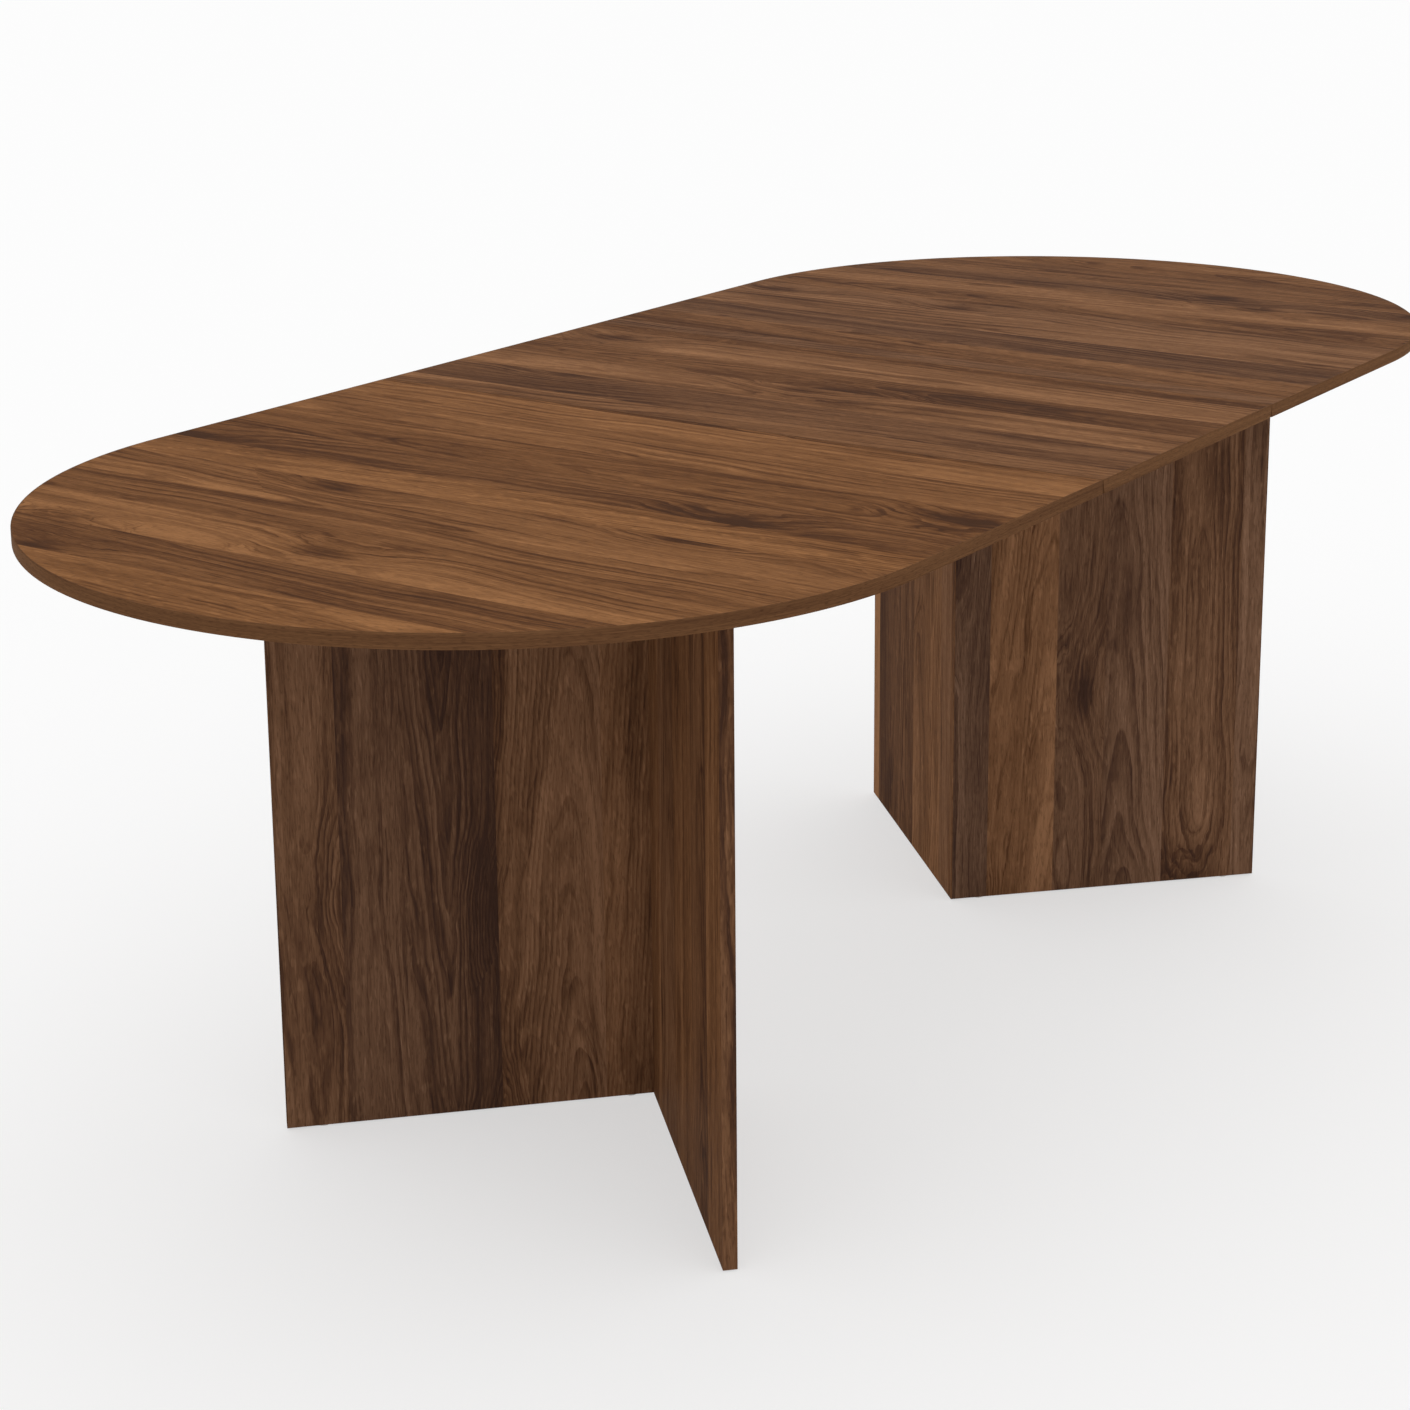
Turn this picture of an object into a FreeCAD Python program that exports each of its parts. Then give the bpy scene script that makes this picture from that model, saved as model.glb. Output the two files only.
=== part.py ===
import FreeCAD, Part
import math
import os
from types import SimpleNamespace

import Sketcher

# Extendable dining table with a stadium-shaped top: two D-shaped halves and one loose leaf between them.
# Two V-shaped pedestals and two rails make a fixed base. The halves run on ball slides along the rails,
# and a pinion between two racks keeps them in step. Swivel locks tie the leaf to the halves.
# Frame: +X along the table, -Y the near long side, +Z up, origin on the floor under the middle.
# Rest pose: extended, with the leaf in place and locked.

# Driving dimensions in millimetres
SIZES = {
    # Top boards
    "table_height": 750,
    "top_length": 2140,
    "top_width": 954,
    "top_thickness": 15,
    "leaf_width": 430,
    "leaf_bevel": 3.5,
    "seam_gap": 0.5,
    "edge_band": 1,
    "arris_radius": 0.5,
    # Pedestals
    "vertex_distance": 660,
    "leg_width": 424,
    "leg_thickness": 15,
    "glide_height": 2,
    "glide_radius": 6,
    "glide_inset": 40,
    "glide_pin_radius": 1.5,
    "glide_pin_length": 12,
    "dowel_radius": 4,
    "dowel_length": 30,
    "dowel_depth": 10,
    "dowel_inset": 60,
    "angle_width": 30,
    "angle_height": 100,
    "angle_gauge": 2,
    "angle_drop": 10,
    # Gaps
    "top_clearance": 2,
    "seat_gap": 0.3,
    "bore_gap": 0.1,
    "notch_clearance": 3,
    # Base frame
    "rail_length": 1280,
    "rail_thickness": 18,
    "rail_height": 45,
    "rail_spacing": 340,
    "beam_width": 40,
    "beam_height": 22,
    "beam_distance": 570,
    "bracket_width": 20,
    "bracket_length": 40,
    "bracket_gauge": 2,
    "pad_length": 60,
    "pad_width": 10,
    "pad_distance": 240,
    # Ball slides
    "slide_length": 450,
    "slide_height": 35,
    "slide_depth": 12,
    "slide_gauge": 1.2,
    "slide_lip": 4.5,
    "slide_reveal": 1,
    "runner_depth": 8,
    "ball_diameter": 4.8,
    "ball_gap": 0.2,
    "ball_pitch": 28,
    "cage_length": 200,
    "cage_gauge": 0.8,
    "cage_depth": 7,
    "cage_offset": 2.2,
    "batten_thickness": 18,
    "batten_height": 38,
    "batten_inset": 15,
    # Rack and pinion
    "tooth_module": 2,
    "gear_width": 12,
    "backlash": 0.3,
    "rack_back": 9.5,
    "rack_overrun": 30,
    "axle_radius": 4,
    "axle_thread_radius": 3,
    "axle_thread_length": 18,
    "axle_head_radius": 6.5,
    "axle_head_height": 3.5,
    "spacer_height": 4,
    "spacer_radius": 8,
    "rack_block_length": 70,
    "rack_block_width": 26,
    # Leaf locks
    "left_lock_inset": 187,
    "right_lock_inset": 127,
    "lock_setback": 30,
    "lock_reach": 55,
    "lever_width": 24,
    "lever_thickness": 3,
    "lever_drop": 5,
    "lever_tail": 38,
    "hook_thickness": 7.6,
    "slot_play": 1.5,
    "plate_thickness": 2,
    "plate_length": 44,
    "plate_width": 26,
    "pivot_radius": 3,
    "pivot_head_radius": 5.5,
    "pivot_head_height": 2,
    "boss_radius": 6,
    "keeper_pin_radius": 3,
    "keeper_pin_length": 7,
    "block_length": 60,
    "block_width": 18,
    "block_height": 20,
    "block_play": 0.7,
    # Screws
    "screw_radius": 1.75,
    "screw_head_radius": 3.2,
    "screw_head_height": 1.8,
    "screw_sink": 1.2,
    "screw_bite": 8,
    "short_screw": 13,
    "beam_screw": 50,
}

# Counts and angles of the standard parts
PINION_TEETH = 20
PRESSURE_ANGLE = math.radians(20)
FLANK_STEPS = 5
BALLS_PER_ROW = 6
DOWELS_PER_CORNER = 5
SIDES = {"left": -1, "right": 1}
ROWS = {"front": -1, "back": 1}

doc = FreeCAD.newDocument("dining_table")
sheet = doc.addObject("Spreadsheet::Sheet", "Sizes")
for row, (alias, number) in enumerate(SIZES.items(), start=1):
    sheet.set(f"A{row}", str(number))
    sheet.setAlias(f"A{row}", alias)
doc.recompute()


class Size:
    """An expression on the sheet's cells. Arithmetic on sizes gives further expressions."""

    def __init__(self, text):
        self.text = text.text if isinstance(text, Size) else str(text)

    def __add__(self, other):
        return Size(f"({self.text} + {Size(other).text})")

    def __radd__(self, other):
        return Size(other) + self

    def __sub__(self, other):
        return Size(f"({self.text} - {Size(other).text})")

    def __rsub__(self, other):
        return Size(other) - self

    def __mul__(self, other):
        return Size(f"({self.text} * {Size(other).text})")

    def __rmul__(self, other):
        return Size(other) * self

    def __truediv__(self, other):
        return Size(f"({self.text} / {Size(other).text})")

    def __neg__(self):
        return Size(f"(-1 * {self.text})")

    def __float__(self):
        return float(sheet.evalExpression(self.text))


size = SimpleNamespace(**{alias: Size(f"Sizes.{alias}") for alias in SIZES})
ROOT_TWO = Size("sqrt(2)")
X_AXIS = FreeCAD.Vector(1, 0, 0)
Y_AXIS = FreeCAD.Vector(0, 1, 0)
Z_AXIS = FreeCAD.Vector(0, 0, 1)

# Levels up the table
underside = size.table_height - size.top_thickness
frame_top = underside - size.top_clearance
leg_height = frame_top - size.glide_height
rail_bottom = frame_top - size.rail_height
slide_mid = frame_top - size.rail_height / 2
beam_top = rail_bottom + size.beam_height
gear_bottom = beam_top + size.spacer_height
gear_top = gear_bottom + size.gear_width
lever_top = underside - size.lever_drop
lever_bottom = lever_top - size.lever_thickness
pad_height = size.top_clearance - size.seat_gap

# Places along the table, counted from its middle
seam_place = size.leaf_width / 2
half_start = seam_place + size.seam_gap / 2
leaf_edge = seam_place - size.seam_gap / 2
end_radius = size.top_width / 2
end_centre = size.top_length / 2 - end_radius
vertex_place = size.vertex_distance / 2
travel = size.leaf_width / 2
rail_end = size.rail_length / 2
channel_start = rail_end - size.slide_length
runner_start = channel_start + travel
runner_end = runner_start + size.slide_length
batten_start = half_start + size.batten_inset
cage_start = channel_start + (size.slide_length + travel - size.cage_length) / 2
lock_place = seam_place + size.lock_setback
keeper_place = lock_place - size.lock_reach
rack_block_start = half_start + size.batten_inset
rack_end = rack_block_start + size.rack_block_length

# Places across the table, counted from its middle
rail_place = size.rail_spacing / 2
rail_inner = rail_place - size.rail_thickness / 2
rail_outer = rail_place + size.rail_thickness / 2
batten_inner = rail_outer + size.slide_depth
batten_outer = batten_inner + size.batten_thickness

# Ball slide section: heights from the slide's own middle
race_height = size.slide_height / 2 - size.slide_gauge
ball_height = race_height - size.ball_gap - size.ball_diameter / 2
runner_height = race_height - size.ball_diameter - 2 * size.ball_gap
ball_depth = size.slide_depth - size.runner_depth + size.ball_diameter / 2

# Gear proportions
pitch_radius = size.tooth_module * PINION_TEETH / 2
tip_line = pitch_radius - size.tooth_module
root_line = pitch_radius + size.tooth_module * 1.25
rack_back_line = root_line + size.rack_back

nodes = {}
bores = {}


def bind(thing, **paths):
    """Ties properties of an object to sizes; a double underscore in a name stands for a dot."""
    for path, value in paths.items():
        thing.setExpression(path.replace("__", "."), Size(value).text)


def node(label, thing):
    """Enters an object as a sub-part of the table."""
    thing.Label = label
    nodes[label] = thing
    return thing


def place(thing, spot, rotation=None):
    """Ties an object's base point to three sizes, with an optional fixed rotation."""
    if rotation is not None:
        thing.Placement = FreeCAD.Placement(FreeCAD.Vector(), rotation)
    bind(thing, Placement__Base__x=spot[0], Placement__Base__y=spot[1], Placement__Base__z=spot[2])
    return thing


def block(name, extents, centre):
    """A box by its three extents, its centre in plan and the height of its bottom."""
    box = doc.addObject("Part::Box", name)
    bind(box, Length=extents[0], Width=extents[1], Height=extents[2])
    return place(box, (centre[0] - extents[0] / 2, centre[1] - extents[1] / 2, centre[2]))


def rod(name, radius, length, base):
    """An upright cylinder on its base point."""
    cylinder = doc.addObject("Part::Cylinder", name)
    bind(cylinder, Radius=radius, Height=length)
    return place(cylinder, base)


def joined(name, things):
    """One solid from several that touch."""
    fuse = doc.addObject("Part::MultiFuse", name)
    fuse.Shapes = things
    fuse.Refine = True
    return fuse


def cut(name, base, tool):
    """One object less another."""
    result = doc.addObject("Part::Cut", name)
    result.Base = base
    result.Tool = tool
    return result


def group(name, things):
    """Separate solids that share one sub-part."""
    compound = doc.addObject("Part::Compound", name)
    compound.Links = things
    return compound


def solids(name, shapes):
    """Separate plain solids that share one object."""
    feature = doc.addObject("Part::Feature", name)
    feature.Shape = Part.makeCompound(shapes)
    return feature


def bore(label, shapes):
    """Notes the holes that a sub-part gets once all its fasteners are known."""
    bores.setdefault(label, []).extend(shapes)


def outline(body, role, corners):
    """A closed sketch through corners (x, y) or (x, y, arc centre x, direction), each tied to sizes.

    An arc runs to the next corner, straight above or below, and its direction is 1 for anticlockwise.
    """
    plane = next(item for item in body.Origin.OriginFeatures if item.Role == role)
    sketch = body.newObject("Sketcher::SketchObject", body.Name + "_outline")
    sketch.AttachmentSupport = [(plane, "")]
    sketch.MapMode = "FlatFace"
    points = [FreeCAD.Vector(float(Size(c[0])), float(Size(c[1])), 0) for c in corners]
    ends = []
    for index, corner in enumerate(corners):
        start = points[index]
        stop = points[(index + 1) % len(points)]
        if len(corner) == 2:
            sketch.addGeometry(Part.LineSegment(start, stop))
            ends.append((1, 2))
            continue
        middle = FreeCAD.Vector(float(Size(corner[2])), (start.y + stop.y) / 2, 0)
        first, last = (start, stop) if corner[3] > 0 else (stop, start)
        circle = Part.Circle(middle, Z_AXIS, (start - middle).Length)
        angles = [math.atan2(p.y - middle.y, p.x - middle.x) for p in (first, last)]
        sketch.addGeometry(Part.ArcOfCircle(circle, angles[0], angles[1]))
        ends.append((1, 2) if corner[3] > 0 else (2, 1))
    for index, corner in enumerate(corners):
        after = (index + 1) % len(corners)
        joint = Sketcher.Constraint("Coincident", index, ends[index][1], after, ends[after][0])
        sketch.addConstraint(joint)
        targets = [("DistanceX", ends[index][0], corner[0]), ("DistanceY", ends[index][0], corner[1])]
        if len(corner) > 2:
            targets.append(("DistanceX", 3, corner[2]))
        for kind, point, value in targets:
            number = float(Size(value))
            constraint = sketch.addConstraint(Sketcher.Constraint(kind, -1, 1, index, point, number))
            sketch.setExpression(f"Constraints[{constraint}]", Size(value).text)
    return sketch


def padded(name, role, corners, length, side="One side", backwards=False):
    """A body padded from one outline."""
    body = doc.addObject("PartDesign::Body", name)
    pad = body.newObject("PartDesign::Pad", name + "_pad")
    pad.Profile = outline(body, role, corners)
    bind(pad, Length=length)
    pad.SideType = side
    pad.Reversed = backwards
    body.Tip = pad
    return body


def rounded(body, chosen):
    """Softens the edges of a body that the test picks."""
    doc.recompute()
    base = body.Tip
    edges = [f"Edge{n}" for n, edge in enumerate(base.Shape.Edges, start=1) if chosen(edge)]
    fillet = body.newObject("PartDesign::Fillet", body.Name + "_arris")
    fillet.Base = (base, edges)
    bind(fillet, Radius=size.arris_radius)
    body.Tip = fillet
    return body


def screw_shape(length, sunk, gap=0.0):
    """A wood screw pointing up from its seat at the origin, or the hole that clears it by a gap."""
    shank = float(size.screw_radius) + gap
    head = float(size.screw_head_radius) + gap
    tip = 2 * float(size.screw_radius)
    body = Part.makeCylinder(shank, length - tip + gap)
    point = Part.makeCone(shank, shank / 4, tip, FreeCAD.Vector(0, 0, length - tip + gap))
    if sunk:
        top = Part.makeCone(head, shank, float(size.screw_sink) + gap)
    else:
        drop = float(size.screw_head_height)
        top = Part.makeCylinder(head, drop, FreeCAD.Vector(0, 0, -drop))
    return body.fuse([point, top]).removeSplitter()


def screws(label, groups, into):
    """A sub-part of like screws at (spot, direction, length, sunk), with holes in what they hold."""
    gap = float(size.bore_gap)
    bodies = []
    holes = []
    for spot, direction, length, sunk in groups:
        seat = FreeCAD.Vector(*(float(Size(value)) for value in spot))
        placement = FreeCAD.Placement(seat, FreeCAD.Rotation(Z_AXIS, direction))
        bodies.append(screw_shape(float(Size(length)), sunk).transformed(placement.toMatrix()))
        holes.append(screw_shape(float(Size(length)), sunk, gap).transformed(placement.toMatrix()))
    for held in into:
        bore(held, holes)
    node(label, solids(label, bodies))


def half_corners(inset, start):
    """The outline of one end of the top, set in by an amount and starting at a place along the table."""
    radius = end_radius - inset
    return [
        (start, -radius),
        (end_centre, -radius, end_centre, 1),
        (end_centre, radius),
        (start, radius),
    ]


def half_band_corners():
    """The U-shaped strip round the outside of one end of the top."""
    inner = end_radius - size.edge_band
    return [
        (half_start, -end_radius),
        (end_centre, -end_radius, end_centre, 1),
        (end_centre, end_radius),
        (half_start, end_radius),
        (half_start, inner),
        (end_centre, inner, end_centre, -1),
        (end_centre, -inner),
        (half_start, -inner),
    ]


def on_outline(edge):
    """True for a level edge of a band that lies on the outside of the table top."""
    box = edge.BoundBox
    if box.ZLength > 1e-6:
        return False
    if isinstance(edge.Curve, Part.Circle):
        return abs(edge.Curve.Radius - float(end_radius)) < 1e-6
    return box.YLength < 1e-6 and abs(abs(box.Center.y) - float(end_radius)) < 1e-6


def half_top(side, sign):
    """The board of one half and its edge bands."""
    turn = FreeCAD.Rotation(Z_AXIS, 0 if sign > 0 else 180)
    origin = (0, 0, underside)
    corners = half_corners(size.edge_band, half_start + size.edge_band)
    board = padded(f"{side}_top_board", "XY_Plane", corners, size.top_thickness)
    node(f"{side}_top_board", place(board, origin, turn))
    band = padded(f"{side}_outer_band", "XY_Plane", half_band_corners(), size.top_thickness)
    rounded(band, on_outline)
    place(band, origin, turn)
    seam_length = size.top_width - 2 * size.edge_band
    seam_centre = sign * (half_start + size.edge_band / 2)
    seam_band = block(
        f"{side}_seam_band",
        (size.edge_band, seam_length, size.top_thickness),
        (seam_centre, 0, underside),
    )
    node(f"{side}_top_edge_bands", group(f"{side}_top_edge_bands", [band, seam_band]))


def leaf():
    """The loose leaf: its long edges lean in below, so that it drops in between the halves."""
    band = size.edge_band
    bevel = size.leaf_bevel
    thickness = size.top_thickness
    wide = leaf_edge - band
    board_corners = [(bevel - wide, 0), (wide - bevel, 0), (wide, thickness), (-wide, thickness)]
    length = size.top_width - 2 * band
    board = padded("leaf_board", "XZ_Plane", board_corners, length, "Symmetric")
    node("leaf_board", place(board, (0, 0, underside)))
    bands = []
    for side, sign in SIDES.items():
        strip = [
            (sign * (wide - bevel), 0),
            (sign * (leaf_edge - bevel), 0),
            (sign * leaf_edge, thickness),
            (sign * wide, thickness),
        ]
        seam = padded(f"leaf_{side}_seam_band", "XZ_Plane", strip, length, "Symmetric")
        bands.append(place(seam, (0, 0, underside)))
    end = [
        (bevel - leaf_edge, 0),
        (leaf_edge - bevel, 0),
        (leaf_edge, thickness),
        (-leaf_edge, thickness),
    ]
    for row, sign in ROWS.items():
        strip = padded(f"leaf_{row}_band", "XZ_Plane", end, band, backwards=sign > 0)
        inner = float(band)
        rounded(
            strip,
            lambda edge: edge.BoundBox.ZLength < 1e-6
            and edge.BoundBox.YLength < 1e-6
            and abs(abs(edge.BoundBox.Center.y) - inner) < 1e-6,
        )
        bands.append(place(strip, (0, sign * (end_radius - band), underside)))
    node("leaf_edge_bands", group("leaf_edge_bands", bands))


# A pedestal panel has its own frame: along from the outer corner of the V, inward from its outer face,
# and up from the floor. The full panel reaches the corner, and the butted panel stands against it.
def panel_frame(sign, full):
    """The directions along and inward of a panel, in the table's frame."""
    along = FreeCAD.Vector(sign, -sign if full else sign, 0) / math.sqrt(2)
    inward = FreeCAD.Vector(sign, sign if full else -sign, 0) / math.sqrt(2)
    return along, inward


def panel_turn(sign, full):
    """The rotation that carries the X axis to a panel's length."""
    return FreeCAD.Rotation(Z_AXIS, (-45 if full else 45) + (0 if sign > 0 else 180))


def panel_spot(sign, full, along, inward, height):
    """A point in a panel's frame as three sizes in the table's frame."""
    across = (inward - along) if full else (along - inward)
    return (sign * (vertex_place + (along + inward) / ROOT_TWO), sign * across / ROOT_TWO, Size(height))


def panel_block(name, sign, full, along, inward, up):
    """A box in a panel's frame, from (start, extent) along, inward and up."""
    box = doc.addObject("Part::Box", name)
    bind(box, Length=along[1], Width=inward[1], Height=up[1])
    near = Size(inward[0]) if full else Size(inward[0]) + inward[1]
    return place(box, panel_spot(sign, full, Size(along[0]), near, up[0]), panel_turn(sign, full))


def panel_name(side, sign, full):
    """The name of a leg panel by the corner of the table that it points to."""
    back = (sign < 0) == full
    return f"{side}_{'back' if back else 'front'}_leg_panel"


notch_start = ROOT_TWO * (rail_inner - size.notch_clearance)
notch_end = ROOT_TWO * (batten_outer + size.notch_clearance) + size.leg_thickness
notch_floor = rail_bottom - size.glide_height


def leg_panel(side, sign, full):
    """One panel of a pedestal, notched at the top for the rail and what runs beside it."""
    label = panel_name(side, sign, full)
    start = size.edge_band if full else size.leg_thickness
    end = size.leg_width - size.edge_band
    corners = [
        (start, 0),
        (end, 0),
        (end, leg_height),
        (notch_end, leg_height),
        (notch_end, notch_floor),
        (notch_start, notch_floor),
        (notch_start, leg_height),
        (start, leg_height),
    ]
    panel = padded(label, "XZ_Plane", corners, size.leg_thickness, backwards=full)
    place(panel, (sign * vertex_place, 0, size.glide_height), panel_turn(sign, full))
    node(label, panel)


def leg_bands(side, sign):
    """The strips on the upright ends of a pedestal's panels."""
    inward = (0, size.leg_thickness)
    up = (size.glide_height, leg_height)
    end = (size.leg_width - size.edge_band, size.edge_band)
    strips = [
        panel_block(f"{side}_full_end_band", sign, True, end, inward, up),
        panel_block(f"{side}_butted_end_band", sign, False, end, inward, up),
        panel_block(f"{side}_corner_band", sign, True, (0, size.edge_band), inward, up),
    ]
    node(f"{side}_leg_edge_bands", group(f"{side}_leg_edge_bands", strips))


def corner_dowels():
    """Glued dowels that join the butted panel of each pedestal to the full one."""
    radius = float(size.dowel_radius)
    length = float(size.dowel_length)
    gap = float(size.bore_gap)
    pins = []
    holes = []
    step = (leg_height - 2 * size.dowel_inset) / (DOWELS_PER_CORNER - 1)
    for side, sign in SIDES.items():
        inward = panel_frame(sign, True)[1]
        for index in range(DOWELS_PER_CORNER):
            height = size.glide_height + size.dowel_inset + index * step
            depth = size.leg_thickness - size.dowel_depth
            spot = panel_spot(sign, True, size.leg_thickness / 2, depth, height)
            base = FreeCAD.Vector(*(float(value) for value in spot))
            pins.append(Part.makeCylinder(radius, length, base, inward))
            holes.append(Part.makeCylinder(radius + gap, length + 2 * gap, base - inward * gap, inward))
        for full in (True, False):
            bore(panel_name(side, sign, full), holes)
    node("corner_dowels", solids("corner_dowels", pins))


def foot_glides():
    """Nailed plastic glides under the panels."""
    radius = float(size.glide_radius)
    height = float(size.glide_height)
    pin = float(size.glide_pin_radius)
    depth = float(size.glide_pin_length)
    gap = float(size.bore_gap)
    feet = []
    for side, sign in SIDES.items():
        for full in (True, False):
            holes = []
            for along in (size.glide_inset, size.leg_width - size.glide_inset):
                spot = panel_spot(sign, full, along, size.leg_thickness / 2, 0)
                base = FreeCAD.Vector(*(float(value) for value in spot))
                top = base + Z_AXIS * height
                foot = Part.makeCylinder(radius, height, base).fuse(Part.makeCylinder(pin, depth, top))
                feet.append(foot)
                holes.append(Part.makeCylinder(pin + gap, depth + gap, top))
            bore(panel_name(side, sign, full), holes)
    node("foot_glides", solids("foot_glides", feet))


bracket_along = ROOT_TWO * rail_place - size.bracket_length / 2


def brackets():
    """Steel brackets under the rails, corner angles inside the pedestals, and their screws."""
    under = []
    angles = []
    spots = []
    bite = size.short_screw
    gauge = size.bracket_gauge
    half = size.bracket_width / 2
    plate = size.angle_gauge
    angle_bottom = rail_bottom - size.angle_drop - size.angle_height
    for side, sign in SIDES.items():
        for full in (True, False):
            along, inward = panel_frame(sign, full)
            span = (bracket_along - half, size.bracket_width)
            drop = rail_bottom - size.bracket_length
            tall = (drop, size.bracket_length)
            upright = panel_block("bracket_upright", sign, full, span, (-gauge, gauge), tall)
            deep = (-size.bracket_length, size.bracket_length)
            thin = (rail_bottom - gauge, gauge)
            shelf = panel_block("bracket_shelf", sign, full, span, deep, thin)
            under.append(joined(f"{side}_rail_bracket", [upright, shelf]))
            middle = panel_spot(sign, full, bracket_along, -size.bracket_length / 2, rail_bottom - gauge)
            spots.append((middle, Z_AXIS, bite, False))
            for share in (0.4, 0.8):
                height = rail_bottom - size.bracket_length * share
                spots.append((panel_spot(sign, full, bracket_along, -gauge, height), inward, bite, False))
        along, inward = panel_frame(sign, True)
        corner = size.leg_thickness
        upright = (angle_bottom, size.angle_height)
        wing = panel_block("angle_wing", sign, True, (corner, size.angle_width), (corner, plate), upright)
        other = panel_block("angle_other", sign, True, (corner, plate), (corner, size.angle_width), upright)
        angles.append(joined(f"{side}_corner_angle", [wing, other]))
        for share in (0.2, 0.8):
            height = angle_bottom + size.angle_height * share
            out = corner + size.angle_width * 0.6
            spots.append((panel_spot(sign, True, out, corner + plate, height), -inward, bite, False))
            spots.append((panel_spot(sign, True, corner + plate, out, height), -along, bite, False))
    node("rail_brackets", group("rail_brackets", under))
    node("corner_angles", group("corner_angles", angles))
    legs = [panel_name(side, sign, full) for side, sign in SIDES.items() for full in (True, False)]
    rails = [f"{row}_rail" for row in ROWS]
    screws("bracket_screws", spots, legs + rails + ["rail_brackets", "corner_angles"])


def base_frame():
    """The two rails, the beams between them and the low-friction pads that the top rests on."""
    for row, sign in ROWS.items():
        extents = (size.rail_length, size.rail_thickness, size.rail_height)
        node(f"{row}_rail", block(f"{row}_rail", extents, (0, sign * rail_place, rail_bottom)))
    places = {"left": -size.beam_distance / 2, "centre": Size(0), "right": size.beam_distance / 2}
    spots = []
    for name, across in places.items():
        extents = (size.beam_width, 2 * rail_inner, size.beam_height)
        node(f"{name}_beam", block(f"{name}_beam", extents, (across, 0, rail_bottom)))
        for sign in ROWS.values():
            for shift in (-size.beam_width / 4, size.beam_width / 4):
                seat = (across + shift, sign * rail_outer, rail_bottom + size.beam_height / 2)
                spots.append((seat, Y_AXIS * -sign, size.beam_screw, True))
    beams = [f"{name}_beam" for name in places]
    screws("beam_screws", spots, beams + [f"{row}_rail" for row in ROWS])
    rests = []
    for along in SIDES.values():
        for across in ROWS.values():
            spot = (along * size.pad_distance / 2, across * rail_place, frame_top)
            rests.append(block("leaf_rest", (size.pad_length, size.pad_width, pad_height), spot))
    node("leaf_rest_pads", group("leaf_rest_pads", rests))
    rests = []
    inner = notch_start / 2
    outer = (notch_end + size.leg_width) / 2
    for sign in SIDES.values():
        for full in (True, False):
            for middle in (inner, outer):
                span = (middle - size.pad_length / 2, size.pad_length)
                deep = ((size.leg_thickness - size.pad_width) / 2, size.pad_width)
                rests.append(panel_block("leg_rest", sign, full, span, deep, (frame_top, pad_height)))
    node("leg_top_pads", group("leg_top_pads", rests))


def channel_corners():
    """The section of a fixed slide channel: a lipped C, open away from the rail."""
    half = size.slide_height / 2
    gauge = size.slide_gauge
    deep = size.slide_depth - size.slide_reveal
    lip = half - size.slide_lip
    return [
        (0, -half),
        (deep, -half),
        (deep, -lip),
        (deep - gauge, -lip),
        (deep - gauge, -race_height),
        (gauge, -race_height),
        (gauge, race_height),
        (deep - gauge, race_height),
        (deep - gauge, lip),
        (deep, lip),
        (deep, half),
        (0, half),
    ]


def runner_corners():
    """The section of a sliding runner: a C inside the channel, open towards the rail."""
    gauge = size.slide_gauge
    near = size.slide_depth - size.runner_depth
    web = size.slide_depth - gauge
    return [
        (near, -runner_height),
        (size.slide_depth, -runner_height),
        (size.slide_depth, runner_height),
        (near, runner_height),
        (near, runner_height - gauge),
        (web, runner_height - gauge),
        (web, gauge - runner_height),
        (near, gauge - runner_height),
    ]


def cage_corners():
    """The section of a ball cage: a thin C round the runner, between it and the channel."""
    near = size.cage_offset
    web = near + size.cage_gauge
    far = near + size.cage_depth
    low = ball_height - size.cage_gauge / 2
    high = ball_height + size.cage_gauge / 2
    return [
        (near, -high),
        (far, -high),
        (far, -low),
        (web, -low),
        (web, low),
        (far, low),
        (far, high),
        (near, high),
    ]


def slide_member(name, corners, length, start, sign, row):
    """One slide member beside a rail of one half, at a place along it."""
    member = padded(name, "YZ_Plane", corners, length)
    turn = FreeCAD.Rotation(Z_AXIS, 0 if sign > 0 else 180)
    if row < 0:
        turn = turn * FreeCAD.Rotation(X_AXIS, 180)
    return place(member, (sign * start, sign * row * rail_outer, slide_mid), turn)


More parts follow.
